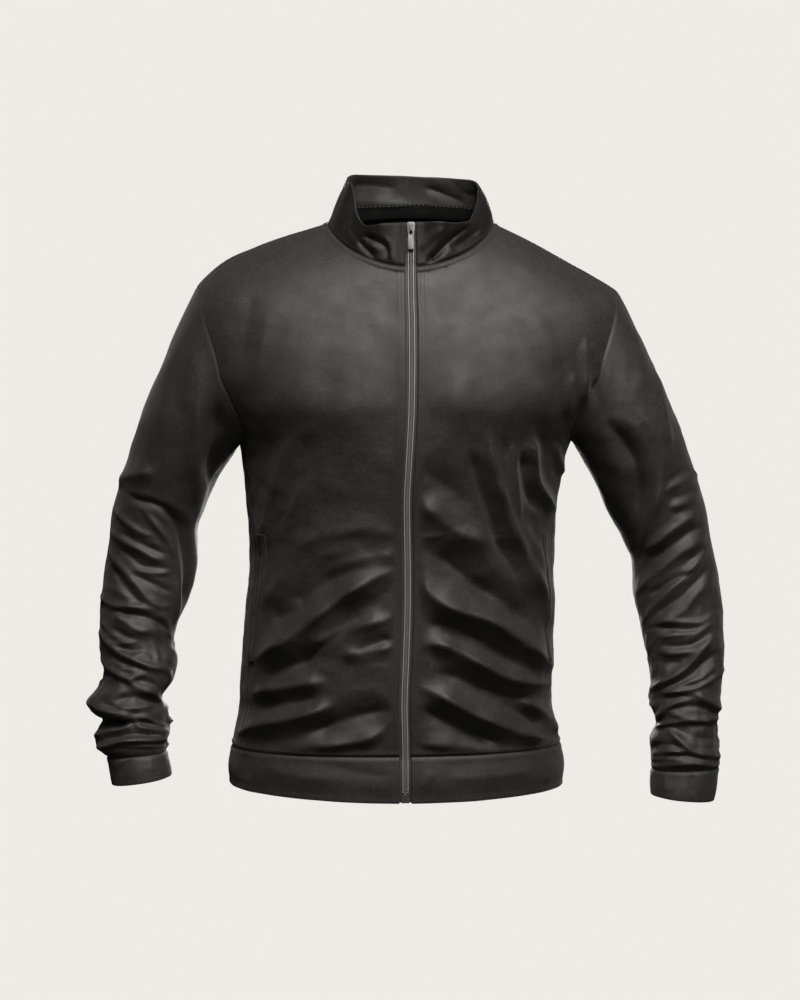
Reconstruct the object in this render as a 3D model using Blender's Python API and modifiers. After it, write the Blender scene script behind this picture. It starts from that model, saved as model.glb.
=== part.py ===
"""Track jacket, hollow and filled out, zipped up to the top of its stand collar.

Metres, +Z up. The front faces -Y and the wearer's left is +X. The origin lies between the
shoulders at the height of the collar seam, where a wearer's shoulders and neck hold it up.
Every cloth piece is a thin wall: a grid of outer points, moved in by the cloth's thickness.
"""
import math

import bmesh
import bpy
import numpy as np
from mathutils import Matrix, Vector

# Driving sizes
CLOTH = 0.0020              # wall of a single layer of jersey
DOUBLE_CLOTH = 0.0024       # wall of the folded bands and collar
TAPE = 0.0010               # woven zip and neck tapes
SEAM_GAP = 0.0003           # clear space between two pieces at a seam
HEM_SEAM_Z = -0.618         # the body meets the hem band
HEM_Z = -0.664              # lower edge of the hem band, at the sides and the back
HEM_DIP = 0.006             # how much lower it hangs at the zip
HEM_TILT = 0.002            # the wearer's left side hangs this much lower, the right higher
ZIP_OPENING = 0.013         # between the two folded front edges
TAPE_REACH = 0.014          # how far each zip tape goes behind the front, from the middle
TAPE_LEAN = 0.0008          # the tape's outer edge lies this much further behind the cloth
TAPE_PARTING = 0.0012       # half the gap between the two tapes, under the coil
COIL_HALF_WIDTH = 0.0028
COIL_DEPTH = 0.0019
COIL_SUNK = 0.0004          # the coil's face lies this far behind the cloth's face
COIL_END_IN_SLIDER = 0.0040  # the coil ends this far inside the slider's upper end
BOX_HALF_WIDTH = 0.0046
BOX_SHARE = 0.62            # the bottom box's height, as a share of the band's first row
SQUARENESS = 0.035          # how much fuller than an ellipse the torso's rings are
SLEEVE_SQUARENESS = 0.03    # the same for the sleeves' rings
RIM_CURVE = 1.5             # how the rings' height runs from the side to the middle
COLLAR_BULGE = 0.0015       # the collar's wall rounds out this much between seam and top
BAND_SWELL = 0.0030         # the hem band rounds out this much below its seam
BAND_FLARE = 0.0015         # and its lower edge stands this far out
CUFF_SWELL = 0.02           # the cuff's fullest ring, as a share of its size
CAP_FULLNESS = (-0.0020, 0.0044)  # how far the sleeve cap rounds out, under the arm and on top
WELT_STATIONS = (0.168, 0.408)  # the pocket welt's lower and upper end
WELT_WIDTH = 0.011
WELT_SLANT = 0.013          # the welt's upper end lies this much further from the side seam
WELT_LAYERS = (0.0008, 0.0024)  # its inner and outer face, above the front's face
NECK_TAPE_RISE = (0.05, 0.15, 0.27)  # the neck tape's rows, as shares of the collar's height
NECK_TAPE_GAP = 0.0006      # between the tape and the collar's inner face

# Where folds die away, so that seams and edges stay smooth
SIDE_FADE = 0.25            # cosine of the angle, towards the side seams
HEM_FADE = 0.03             # stations above the hem seam
ZIP_CALM = (0.05, 0.11)     # sine of the angle, beside the stiff front edge
CUFF_FADE = 0.03            # stations above the cuff seam

# Grid counts
FRONT_COLUMNS = 13
BACK_COLUMNS = 20
LOWER_ROWS = 19
ARMHOLE_ROWS = 10
SHOULDER_ROWS = 5
CAP_RINGS = 5
COLLAR_ROWS = 4
BAND_ROWS = 3
CUFF_ROWS = 3
WELT_ROWS = 8
WELT_COLUMNS = 2

# The armhole is an ellipse on the torso's (angle, station) sheet
PIT = 0.576                 # station of the underarm point
TIP = 0.860                 # station of the shoulder tip
ARMHOLE_FRONT = math.radians(24)
ARMHOLE_BACK = math.radians(45)


class Table:
    """Rows of numbers under named columns, read smoothly between the rows."""

    def __init__(self, columns, rows):
        data = np.array(rows, dtype=float)
        self.key = data[:, 0]
        self.column = {name: data[:, i] for i, name in enumerate(columns)}

    def at(self, name, key):
        """Monotone cubic through the column's values."""
        x, y = self.key, self.column[name]
        step = np.diff(x)
        rise = np.diff(y) / step
        slope = np.zeros(len(x))
        slope[0], slope[-1] = rise[0], rise[-1]
        for i in range(1, len(x) - 1):
            if rise[i - 1] * rise[i] > 0:
                slope[i] = 2 * rise[i - 1] * rise[i] / (rise[i - 1] + rise[i])
        i = int(np.clip(np.searchsorted(x, key) - 1, 0, len(x) - 2))
        h = step[i]
        u = min(max((key - x[i]) / h, 0.0), 1.0)
        return float((1 + 2 * u) * (1 - u) ** 2 * y[i] + u * (1 - u) ** 2 * h * slope[i]
                     + u * u * (3 - 2 * u) * y[i + 1] + u * u * (u - 1) * h * slope[i + 1])


# The body's rings, from the hem seam (station 0) to the collar seam (station 1). Each ring
# has its own middle, half width and depths, and its own height at the wearer's right and
# left side, front and back. turn is in degrees, towards the wearer's left.
BODY = Table(
    ("station", "middle", "half_width", "front", "back",
     "z_right", "z_left", "z_front", "z_back", "turn"),
    ((0.000, -0.0135, 0.1952, 0.119, 0.113, -0.618, -0.618, -0.618, -0.618, 5.0),
     (0.040, -0.0140, 0.1890, 0.121, 0.112, -0.593, -0.593, -0.593, -0.593, 5.0),
     (0.084, -0.0145, 0.1850, 0.122, 0.110, -0.566, -0.566, -0.566, -0.566, 4.8),
     (0.180, -0.0118, 0.1840, 0.121, 0.104, -0.507, -0.507, -0.507, -0.507, 4.4),
     (0.275, -0.0088, 0.1825, 0.119, 0.098, -0.448, -0.448, -0.448, -0.448, 3.9),
     (0.370, -0.0077, 0.1800, 0.120, 0.096, -0.389, -0.389, -0.389, -0.389, 3.3),
     (0.466, -0.0074, 0.1835, 0.126, 0.104, -0.330, -0.330, -0.330, -0.330, 2.6),
     (0.530, -0.0050, 0.1895, 0.131, 0.112, -0.290, -0.289, -0.291, -0.290, 2.2),
     (0.576, -0.0030, 0.1960, 0.1335, 0.118, -0.262, -0.259, -0.264, -0.262, 2.0),
     (0.620, -0.0020, 0.2130, 0.134, 0.122, -0.236, -0.236, -0.243, -0.234, 2.0),
     (0.665, -0.0010, 0.2380, 0.1335, 0.125, -0.205, -0.207, -0.221, -0.203, 2.0),
     (0.718, -0.0005, 0.2570, 0.1315, 0.126, -0.167, -0.170, -0.195, -0.167, 2.0),
     (0.790, 0.0000, 0.2600, 0.1260, 0.122, -0.119, -0.124, -0.160, -0.121, 2.0),
     (0.830, 0.0000, 0.2555, 0.1210, 0.117, -0.095, -0.101, -0.140, -0.098, 2.0),
     (0.860, 0.0000, 0.2460, 0.1170, 0.112, -0.078, -0.086, -0.126, -0.081, 2.0),
     (0.880, 0.0000, 0.2335, 0.1140, 0.108, -0.065, -0.077, -0.117, -0.069, 2.0),
     (0.905, 0.0002, 0.2120, 0.1100, 0.102, -0.049, -0.064, -0.105, -0.053, 1.8),
     (0.930, 0.0005, 0.1850, 0.1060, 0.095, -0.035, -0.049, -0.093, -0.038, 1.5),
     (0.960, 0.0012, 0.1480, 0.1005, 0.085, -0.021, -0.029, -0.078, -0.019, 1.0),
     (1.000, 0.0030, 0.0965, 0.0920, 0.066, -0.005, -0.005, -0.058, 0.008, 0.0)))

# The seam between front and back, degrees from the middle of the front
SIDE_SEAM = Table(
    ("station", "angle"),
    ((0.0, 70.0), (0.45, 71.0), (0.576, 78.0), (0.718, 80.0), (0.86, 82.0), (1.0, 81.0)))

# The sleeves' rings, shoulder to cuff: the point at the outer side and the one at the inner
# side as the jacket is seen from the front, then the ring's middle in depth and half depth.
SLEEVE_COLUMNS = ("station", "outer_x", "outer_z", "inner_x", "inner_z", "middle_y",
                  "half_depth")
SLEEVE_RIGHT = Table(SLEEVE_COLUMNS, (
    (0.000, -0.3151, -0.2372, -0.2065, -0.2761, 0.000, 0.070),
    (0.070, -0.3252, -0.2702, -0.2255, -0.3069, 0.004, 0.067),
    (0.150, -0.3371, -0.3069, -0.2415, -0.3423, 0.009, 0.063),
    (0.240, -0.3500, -0.3494, -0.2491, -0.3683, 0.012, 0.060),
    (0.310, -0.3549, -0.3821, -0.2488, -0.3963, 0.011, 0.058),
    (0.390, -0.3608, -0.4182, -0.2525, -0.4265, 0.006, 0.056),
    (0.460, -0.3624, -0.4517, -0.2609, -0.4517, -0.002, 0.053),
    (0.530, -0.3628, -0.4815, -0.2731, -0.4792, -0.012, 0.049),
    (0.570, -0.3629, -0.4986, -0.2763, -0.4952, -0.018, 0.045),
    (0.625, -0.3577, -0.5249, -0.2712, -0.5156, -0.025, 0.047),
    (0.670, -0.3589, -0.5407, -0.2744, -0.5385, -0.031, 0.044),
    (0.710, -0.3732, -0.5602, -0.2875, -0.5602, -0.035, 0.046),
    (0.745, -0.3705, -0.5727, -0.2820, -0.5738, -0.039, 0.046),
    (0.780, -0.3585, -0.5833, -0.2818, -0.5851, -0.042, 0.040),
    (0.840, -0.3651, -0.6042, -0.2784, -0.5996, -0.047, 0.045),
    (0.885, -0.3624, -0.6177, -0.2822, -0.6107, -0.050, 0.043),
    (0.920, -0.3517, -0.6256, -0.2815, -0.6198, -0.053, 0.037),
    (1.000, -0.3452, -0.6571, -0.2757, -0.6467, -0.059, 0.036)))
SLEEVE_LEFT = Table(SLEEVE_COLUMNS, (
    (0.000, 0.3092, -0.2218, 0.1971, -0.2667, 0.000, 0.070),
    (0.070, 0.3246, -0.2549, 0.2149, -0.2975, 0.004, 0.067),
    (0.160, 0.3400, -0.2998, 0.2337, -0.3399, 0.009, 0.063),
    (0.250, 0.3541, -0.3494, 0.2550, -0.3777, 0.012, 0.060),
    (0.320, 0.3614, -0.3868, 0.2653, -0.4033, 0.011, 0.057),
    (0.400, 0.3684, -0.4241, 0.2666, -0.4335, 0.006, 0.056),
    (0.480, 0.3713, -0.4612, 0.2726, -0.4705, -0.003, 0.054),
    (0.550, 0.3716, -0.4932, 0.2785, -0.4991, -0.013, 0.050),
    (0.600, 0.3699, -0.5207, 0.2833, -0.5207, -0.020, 0.046),
    (0.650, 0.3681, -0.5435, 0.2851, -0.5435, -0.026, 0.047),
    (0.695, 0.3670, -0.5617, 0.2836, -0.5663, -0.031, 0.045),
    (0.745, 0.3624, -0.5867, 0.2913, -0.5890, -0.037, 0.041),
    (0.790, 0.3631, -0.6094, 0.2833, -0.6070, -0.042, 0.045),
    (0.830, 0.3639, -0.6264, 0.2843, -0.6264, -0.046, 0.044),
    (0.870, 0.3632, -0.6386, 0.2840, -0.6410, -0.049, 0.039),
    (1.000, 0.3570, -0.6760, 0.2829, -0.6690, -0.057, 0.036)))
SLEEVE_END = {-1: 0.92, 1: 0.87}     # station where the sleeve meets its cuff

# Stations of the sleeve's rings below the cap: closer together where the cloth bunches
SLEEVE_STATIONS = {
    -1: (0.035, 0.07, 0.11, 0.15, 0.195, 0.24, 0.275, 0.31, 0.35, 0.39, 0.425, 0.46, 0.495,
         0.53, 0.57, 0.60, 0.625, 0.65, 0.67, 0.71, 0.745, 0.78, 0.81, 0.84, 0.885, 0.92),
    1: (0.035, 0.07, 0.115, 0.16, 0.205, 0.25, 0.285, 0.32, 0.36, 0.40, 0.44, 0.48, 0.515,
        0.55, 0.575, 0.60, 0.625, 0.65, 0.695, 0.72, 0.745, 0.79, 0.83, 0.85, 0.87)}

# A long piece is made of shorter walls, end to end: their names, and the rows where they part
STRETCHES = {
    "back": (("back_lower", "back_upper"), (LOWER_ROWS - 1,)),
    "sleeve_right": (("sleeve_right_cap", "sleeve_right_top", "sleeve_right_elbow",
                      "sleeve_right_forearm"), (4, 8, 16)),
    "sleeve_left": (("sleeve_left_top", "sleeve_left_elbow", "sleeve_left_forearm"), (8, 16))}

# The largest folds. On the body: start and end (x, z) as seen from the front, how far the
# ridge stands out (a trough is negative), its half width, and the side it is on.
FOLD_COLUMNS = ("start_x", "start_z", "end_x", "end_z", "height", "half_width")
FRONT_FOLDS = (
    (-0.171, -0.510, -0.085, -0.458, 0.0095, 0.022),
    (-0.085, -0.458, -0.024, -0.420, 0.0075, 0.021),
    (-0.110, -0.505, -0.030, -0.478, 0.0050, 0.017),
    (-0.141, -0.262, -0.184, -0.392, 0.0070, 0.019),
    (-0.106, -0.302, -0.160, -0.370, 0.0045, 0.017),
    (-0.125, -0.445, -0.065, -0.415, -0.0065, 0.018),
    (-0.120, -0.590, -0.035, -0.592, -0.0050, 0.021),
    (0.020, -0.440, 0.108, -0.487, 0.0085, 0.021),
    (0.108, -0.487, 0.162, -0.520, 0.0080, 0.019),
    (0.020, -0.502, 0.164, -0.548, 0.0080, 0.019),
    (0.020, -0.553, 0.158, -0.612, 0.0070, 0.018),
    (0.020, -0.470, 0.128, -0.520, -0.0055, 0.016),
    (0.097, -0.280, 0.135, -0.400, 0.0065, 0.018),
    (0.020, -0.312, 0.080, -0.305, -0.0060, 0.023))
BACK_FOLDS = (
    (-0.170, -0.300, -0.060, -0.390, 0.0070, 0.023),
    (0.165, -0.290, 0.070, -0.370, 0.0070, 0.023),
    (-0.150, -0.430, 0.020, -0.470, 0.0080, 0.023),
    (0.150, -0.450, 0.010, -0.500, 0.0080, 0.022),
    (-0.140, -0.520, 0.120, -0.545, 0.0070, 0.021),
    (0.010, -0.090, -0.020, -0.250, -0.0045, 0.029))

# On a sleeve: the station and the angle round the sleeve (0 outer, 90 front, 180 inner,
# 270 back) where a ridge starts and ends, its height and its half width.
SLEEVE_FOLDS = {
    -1: ((0.22, 10, 0.31, 150, 0.0050, 0.012),
         (0.30, 30, 0.33, 150, 0.0045, 0.010),
         (0.51, 20, 0.58, 150, 0.0055, 0.011),
         (0.58, 10, 0.64, 150, 0.0060, 0.010),
         (0.68, -20, 0.75, 150, 0.0050, 0.009),
         (0.83, -60, 0.84, 170, 0.0040, 0.009),
         (0.24, 200, 0.30, 330, 0.0050, 0.013),
         (0.55, 200, 0.60, 330, 0.0050, 0.012),
         (0.70, 190, 0.66, 340, 0.0050, 0.010),
         (0.83, 190, 0.79, 340, 0.0040, 0.009)),
    1: ((0.31, 40, 0.26, 170, 0.0050, 0.011),
        (0.12, 60, 0.24, 80, 0.0040, 0.012),
        (0.54, 60, 0.42, 160, 0.0045, 0.011),
        (0.65, 150, 0.55, 20, 0.0060, 0.010),
        (0.71, 100, 0.70, 0, 0.0045, 0.009),
        (0.80, 20, 0.81, 160, 0.0045, 0.009),
        (0.25, 200, 0.31, 330, 0.0050, 0.013),
        (0.54, 200, 0.60, 330, 0.0050, 0.012),
        (0.66, 190, 0.69, 340, 0.0050, 0.010),
        (0.80, 190, 0.79, 340, 0.0040, 0.009))}
SLEEVE_LENGTH = 0.44        # one station step of 1, along the sleeve
SLEEVE_RADIUS = 0.050       # turns an angle round the sleeve into a distance


# ---------------------------------------------------------------- shapes of the garment

def fold_height(across, up, folds):
    """How far the cloth stands out at a place, from a list of soft ridges and troughs."""
    height = 0.0
    for x0, y0, x1, y1, rise, half_width in folds:
        run_x, run_y = x1 - x0, y1 - y0
        length_sq = run_x * run_x + run_y * run_y
        s = ((across - x0) * run_x + (up - y0) * run_y) / length_sq
        over = max(0.0, -s, s - 1.0) * math.sqrt(length_sq)
        s = min(max(s, 0.0), 1.0)
        off = math.hypot(across - x0 - s * run_x, up - y0 - s * run_y)
        fade = math.sin(math.pi * (0.15 + 0.7 * s)) * math.exp(-(over / half_width) ** 2)
        height += rise * fade * math.exp(-(off / half_width) ** 2)
    return height


def ring_point(middle, half_width, front, back, turn, angle):
    """A point of one level ring round the body, angle 0 at the middle of the front."""
    s, c = math.sin(angle), math.cos(angle)
    full = 1 + SQUARENESS * (2 * s * c) ** 2
    x = half_width * s * full
    y = -(front if c > 0 else back) * c * full
    return np.array((middle + x * math.cos(turn) - y * math.sin(turn),
                     x * math.sin(turn) + y * math.cos(turn), 0.0))


def body_base(angle, station):
    """The body without its folds."""
    point = ring_point(BODY.at("middle", station), BODY.at("half_width", station),
                       BODY.at("front", station), BODY.at("back", station),
                       math.radians(BODY.at("turn", station)), angle)
    right, left = BODY.at("z_right", station), BODY.at("z_left", station)
    side = (right + left) / 2 + (left - right) / 2 * math.sin(angle)
    end = BODY.at("z_front" if math.cos(angle) > 0 else "z_back", station)
    point[2] = side + (end - side) * abs(math.cos(angle)) ** RIM_CURVE
    return point


def surface_normal(surface, angle, station):
    """Outward direction of a surface given by (angle, station)."""
    step = 0.004
    low, high = max(station - step, 0.0), min(station + step, 1.0)
    across = surface(angle + step, station) - surface(angle - step, station)
    up = surface(angle, high) - surface(angle, low)
    out = np.cross(across, up)
    return out / np.linalg.norm(out)


def body_point(angle, station):
    """The body's outer face, with its folds."""
    base = body_base(angle, station)
    in_front = math.cos(angle) > 0
    fade = min(1.0, abs(math.cos(angle)) / SIDE_FADE) * min(1.0, station / HEM_FADE + 0.3)
    if in_front:
        calm, full = ZIP_CALM
        fade *= min(1.0, max(0.0, (abs(math.sin(angle)) - calm) / (full - calm)))
    height = fold_height(base[0], base[2], FRONT_FOLDS if in_front else BACK_FOLDS)
    return base + surface_normal(body_base, angle, station) * (fade * height)


def seam_angle(station):
    return math.radians(SIDE_SEAM.at("angle", station))


def armhole_half(station):
    """0 at the underarm and the shoulder tip, 1 at the middle of the armhole."""
    u = (station - PIT) / (TIP - PIT) * 2 - 1
    return math.sqrt(max(0.0, 1 - u * u))


def front_edge(station):
    return seam_angle(station) - ARMHOLE_FRONT * armhole_half(station)


def back_edge(station):
    return seam_angle(station) + ARMHOLE_BACK * armhole_half(station)


def zip_edge(station):
    """Angle at which the folded front edge lies, beside the zip."""
    return math.asin(0.5 * ZIP_OPENING / BODY.at("half_width", station))


def body_stations():
    lower = [PIT * i / LOWER_ROWS for i in range(LOWER_ROWS)]
    # closer together near the underarm and the shoulder tip, where the edge turns
    steps = [i / ARMHOLE_ROWS for i in range(ARMHOLE_ROWS)]
    armhole = [PIT + (TIP - PIT) * (0.6 * u + 0.2 * (1 - math.cos(math.pi * u)))
               for u in steps]
    shoulder = [TIP + (1 - TIP) * i / SHOULDER_ROWS for i in range(SHOULDER_ROWS + 1)]
    return lower + armhole + shoulder


STATIONS = body_stations()


def column_angles(station, part):
    """The angles of one row of a panel, always running towards the wearer's left."""
    inner, side, rear = zip_edge(station), front_edge(station), back_edge(station)
    spans = {"front_left": (inner, side, FRONT_COLUMNS),
             "back": (rear, 2 * math.pi - rear, BACK_COLUMNS),
             "front_right": (2 * math.pi - side, 2 * math.pi - inner, FRONT_COLUMNS)}
    start, end, count = spans[part]
    return [start + (end - start) * i / count for i in range(count + 1)]


def body_grid(part):
    return [[body_point(a, t) for a in column_angles(t, part)] for t in STATIONS]


def all_round(station):
    """Every column's angle once, from the left front edge round the back to the right."""
    left = column_angles(station, "front_left")
    back = column_angles(station, "back")
    right = column_angles(station, "front_right")
    return left + back[1:] + right[1:]


# The collar's upper edge: lower in front, and climbing beside the neck
COLLAR_TOP = {"middle": 0.0030, "half_width": 0.0785, "front": 0.0845, "back": 0.056,
              "z_front": -0.008, "z_back": 0.0505, "z_side": 0.0455, "rise_right": 0.0045,
              "climb_from": 0.22, "climb_to": 0.66, "climb_turn": 0.20}


def collar_top(angle):
    top = COLLAR_TOP
    point = ring_point(top["middle"], top["half_width"], top["front"], top["back"], 0.0,
                       angle)
    rear = top["z_side"] + (top["z_back"] - top["z_side"]) * max(0.0, -math.cos(angle))
    rear -= top["rise_right"] * math.sin(angle)
    low = (math.cos(angle - top["climb_turn"]) - top["climb_from"]) / (
        top["climb_to"] - top["climb_from"])
    low = min(max(low, 0.0), 1.0)
    point[2] = rear + (top["z_front"] - rear) * low * low * (3 - 2 * low)
    return point


def collar_point(angle, rise):
    """The collar from its seam (rise 0) to its top edge (rise 1)."""
    seam, top = body_point(angle, 1.0), collar_top(angle)
    point = seam + (top - seam) * rise
    bulge = COLLAR_BULGE * 4 * rise * (1 - rise) * min(1.0, abs(math.sin(angle)) / 0.4)
    out = np.array((math.sin(angle), -math.cos(angle), 0.25))
    return point + bulge * out / np.linalg.norm(out)


def band_point(angle, drop):
    """The hem band from its seam (drop 0) to its lower edge (drop 1)."""
    point = body_point(angle, 0.0)
    swell = BAND_SWELL * math.sin(0.85 * math.pi * min(1.0, 1.15 * drop)) + BAND_FLARE * drop
    out = np.array((math.sin(angle), -math.cos(angle), 0.0))
    point = point + swell * out
    edge = HEM_Z - HEM_DIP * max(0.0, math.cos(angle)) ** 3 - HEM_TILT * math.sin(angle)
    point[2] = HEM_SEAM_Z + (edge - HEM_SEAM_Z) * drop
    return point


def sleeve_base(side, turn, station):
    """A point of a sleeve ring; turn is 0 at the outer side and 90 degrees in front."""
    table = SLEEVE_RIGHT if side < 0 else SLEEVE_LEFT
    outer = np.array((table.at("outer_x", station), 0, table.at("outer_z", station)))
    inner = np.array((table.at("inner_x", station), 0, table.at("inner_z", station)))
    half = (outer - inner) / 2
    depth = table.at("half_depth", station)
    full = 1 + SLEEVE_SQUARENESS * math.sin(2 * turn) ** 2
    point = (outer + inner) / 2 + full * half * math.cos(turn)
    point[1] = table.at("middle_y", station) - depth * full * math.sin(turn)
    return point


def sleeve_point(side, turn, station):
    """The sleeve's outer face, with its folds."""
    base = sleeve_base(side, turn, station)
    table = SLEEVE_RIGHT if side < 0 else SLEEVE_LEFT
    out = base - np.array(((table.at("outer_x", station) + table.at("inner_x", station)) / 2,
                           table.at("middle_y", station), base[2]))
    out /= np.linalg.norm(out)
    folds = []
    for s0, a0, s1, a1, rise, half_width in SLEEVE_FOLDS[side]:
        folds.append((math.radians(a0) * SLEEVE_RADIUS, s0 * SLEEVE_LENGTH,
                      math.radians(a1) * SLEEVE_RADIUS, s1 * SLEEVE_LENGTH, rise, half_width))
    height = 0.0
    for lap in (-2 * math.pi, 0.0, 2 * math.pi):
        height += fold_height((turn + lap) * SLEEVE_RADIUS, station * SLEEVE_LENGTH, folds)
    fade = min(1.0, max(0.0, (SLEEVE_END[side] - station) / CUFF_FADE + 0.15))
    return base + out * (height * fade)


def armhole_ring(side):
    """The armhole's points: top, down the front, underarm, up the back."""
    edge = STATIONS[LOWER_ROWS:LOWER_ROWS + ARMHOLE_ROWS + 1]
    front = [body_point(side * front_edge(t), t) for t in reversed(edge[1:])]
    back = [body_point(side * back_edge(t), t) for t in edge[:-1]]
    return front + back


def sleeve_grid(side):
    armhole = armhole_ring(side)
    count = len(armhole)
    first = [sleeve_point(side, 2 * math.pi * i / count, 0.0) for i in range(count)]
    rows = []
    for k in range(CAP_RINGS + 1):
        s = k / CAP_RINGS
        row = []
        for i in range(count):
            under, over = CAP_FULLNESS
            full = under + (over - under) * (1 + math.cos(2 * math.pi * i / count)) / 2
            out = first[i] - np.mean(first, axis=0)
            row.append(armhole[i] * (1 - s) + first[i] * s
                       + 4 * s * (1 - s) * full * out / np.linalg.norm(out))
        rows.append(row)
    for station in SLEEVE_STATIONS[side]:
        rows.append([sleeve_point(side, 2 * math.pi * i / count, station)
                     for i in range(count)])
    return rows


def cuff_grid(side):
    count = 2 * ARMHOLE_ROWS
    end = SLEEVE_END[side]
    rows = []
    for k in range(CUFF_ROWS + 1):
        station = end + (1 - end) * k / CUFF_ROWS
        ring = np.array([sleeve_point(side, 2 * math.pi * i / count, station)
                         for i in range(count)])
        swell = CUFF_SWELL * math.sin(math.pi * k / CUFF_ROWS)
        rows.append(ring + (ring - ring.mean(axis=0)) * swell)
    return rows


# ---------------------------------------------------------------- cloth walls

class Panel:
    """A cloth piece: a grid of outer points and the way in from each of them."""

    def __init__(self, name, grid, thickness, seams=(), sheet=None, tube=False, flip=False):
        self.name = name
        self.sheet = sheet or name
        self.outer = np.array(grid)
        self.thickness = thickness
        self.seams = seams
        self.tube = tube
        if tube:
            around = np.roll(self.outer, -1, axis=1) - np.roll(self.outer, 1, axis=1)
        else:
            around = np.gradient(self.outer, axis=1)
        along = np.gradient(self.outer, axis=0)
        normal = np.cross(around, along) * (-1 if flip else 1)
        self.way_out = normal / np.linalg.norm(normal, axis=2, keepdims=True)

    def edge_cells(self):
        rows, columns = self.outer.shape[:2]
        cells = {(r, c) for c in range(columns) for r in (0, rows - 1)}
        if not self.tube:
            cells |= {(r, c) for r in range(rows) for c in (0, columns - 1)}
        return cells

    def walls(self):
        """Outer and inner grids, each seam edge moved back by half the seam gap."""
        outer = self.outer.copy()
        inner = outer - self.way_out * self.thickness
        shift = np.zeros_like(outer)
        edges = {"bottom": ((0, slice(None)), (1, slice(None))),
                 "top": ((-1, slice(None)), (-2, slice(None))),
                 "start": ((slice(None), 0), (slice(None), 1)),
                 "end": ((slice(None), -1), (slice(None), -2))}
        for seam in self.seams:
            edge, inside = edges[seam]
            line = self.outer[edge]
            if self.tube:
                tangent = np.roll(line, -1, axis=0) - np.roll(line, 1, axis=0)
            else:
                tangent = np.gradient(line, axis=0)
            back = np.cross(tangent, self.way_out[edge])
            back /= np.linalg.norm(back, axis=1, keepdims=True)
            side = np.sign(np.sum(back * (self.outer[inside] - line), axis=1, keepdims=True))
            shift[edge] += back * side * SEAM_GAP / 2
        return outer + shift, inner + shift


def share_seams(panels):
    """Panels that meet at a seam lean the same way there, so that their edges are parallel."""
    cells = [(p, cell) for p in panels for cell in p.edge_cells()]
    places = np.array([p.outer[cell] for p, cell in cells])
    done = np.zeros(len(cells), dtype=bool)
    for i in range(len(cells)):
        if done[i]:
            continue
        same = np.nonzero(np.linalg.norm(places - places[i], axis=1) < 2e-5)[0]
        done[same] = True
        sheets = {}
        for k in same:
            piece, cell = cells[k]
            sheets.setdefault(piece.sheet, []).append(piece.way_out[cell])
        ways = np.array([np.mean(group, axis=0) for group in sheets.values()])
        ways /= np.linalg.norm(ways, axis=1, keepdims=True)
        mean = ways.sum(axis=0)
        mean /= np.linalg.norm(mean)
        stretch = 1 / max(0.65, float((ways @ mean).min()))
        for k in same:
            cells[k][0].way_out[cells[k][1]] = mean * stretch


def spread(grid, r, c):
    """How much longer one diagonal of a cell is than the other."""
    n = (c + 1) % grid.shape[1]
    rising = np.linalg.norm(grid[r + 1, n] - grid[r, c])
    falling = np.linalg.norm(grid[r + 1, c] - grid[r, n])
    return rising - falling


def wall_mesh(name, outer, inner, tube=False):
    """A closed wall between two grids of points."""
    rows, columns = outer.shape[:2]
    spans = columns if tube else columns - 1
    base = rows * columns
    faces = []

    def cell(r, c):
        return r * columns + c % columns

    for r in range(rows - 1):
        for c in range(spans):
            a, b, d, e = cell(r, c), cell(r, c + 1), cell(r + 1, c + 1), cell(r + 1, c)
            if spread(outer, r, c) > 0:
                halves = ((a, b, e), (b, d, e))
            else:
                halves = ((a, b, d), (a, d, e))
            for i, j, k in halves:
                faces += [(i, j, k), (base + i, base + k, base + j)]
    for c in range(spans):
        for r in (0, rows - 1):
            a, b = cell(r, c), cell(r, c + 1)
            faces += [(a, b, base + b), (a, base + b, base + a)]
    if not tube:
        for r in range(rows - 1):
            for c in (0, columns - 1):
                a, b = cell(r, c), cell(r + 1, c)
                faces += [(a, b, base + b), (a, base + b, base + a)]
    points = np.concatenate((outer.reshape(-1, 3), inner.reshape(-1, 3)))
    mesh = bpy.data.meshes.new(name)
    mesh.from_pydata(points.tolist(), [], faces)
    shape = bmesh.new()
    shape.from_mesh(mesh)
    bmesh.ops.recalc_face_normals(shape, faces=shape.faces)
    shape.to_mesh(mesh)
    shape.free()
    return mesh


# ---------------------------------------------------------------- materials and objects

# Colour, roughness and metallic value of each material
LOOKS = {"jersey": ((0.018, 0.018, 0.018), 0.55, 0.0),
         "band": ((0.015, 0.015, 0.015), 0.65, 0.0),
         "zip_tape": ((0.030, 0.030, 0.030), 0.8, 0.0),
         "zip_coil": ((0.120, 0.120, 0.120), 0.45, 0.0),
         "zip_metal": ((0.550, 0.550, 0.530), 0.3, 1.0)}
JACKET = bpy.data.collections.new("track_jacket")
CUTTERS = bpy.data.collections.new("cutters")


def material(node, look):
    color, roughness, metallic = LOOKS[look]
    made = bpy.data.materials.new(node + "_" + look)
    made.use_nodes = True
    shader = made.node_tree.nodes["Principled BSDF"]
    shader.inputs["Base Color"].default_value = (*color, 1)
    shader.inputs["Roughness"].default_value = roughness
    shader.inputs["Metallic"].default_value = metallic
    return made


def add_mesh(name, mesh, look, angle=40):
    piece = bpy.data.objects.new(name, mesh)
    JACKET.objects.link(piece)
    mesh.materials.append(material(name, look))
    mesh.shade_smooth()
    mesh.set_sharp_from_angle(angle=math.radians(angle))
    return piece


def stretch(grid, low, high):
    """Rows low to high of a grid, each cut end moved in by half the seam gap."""
    part = grid[low:high + 1].copy()
    for end, inside, cut in ((0, 1, low > 0), (-1, -2, high < len(grid) - 1)):
        if cut:
            way = part[inside] - part[end]
            part[end] += way / np.linalg.norm(way, axis=1, keepdims=True) * SEAM_GAP / 2
    return part


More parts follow.
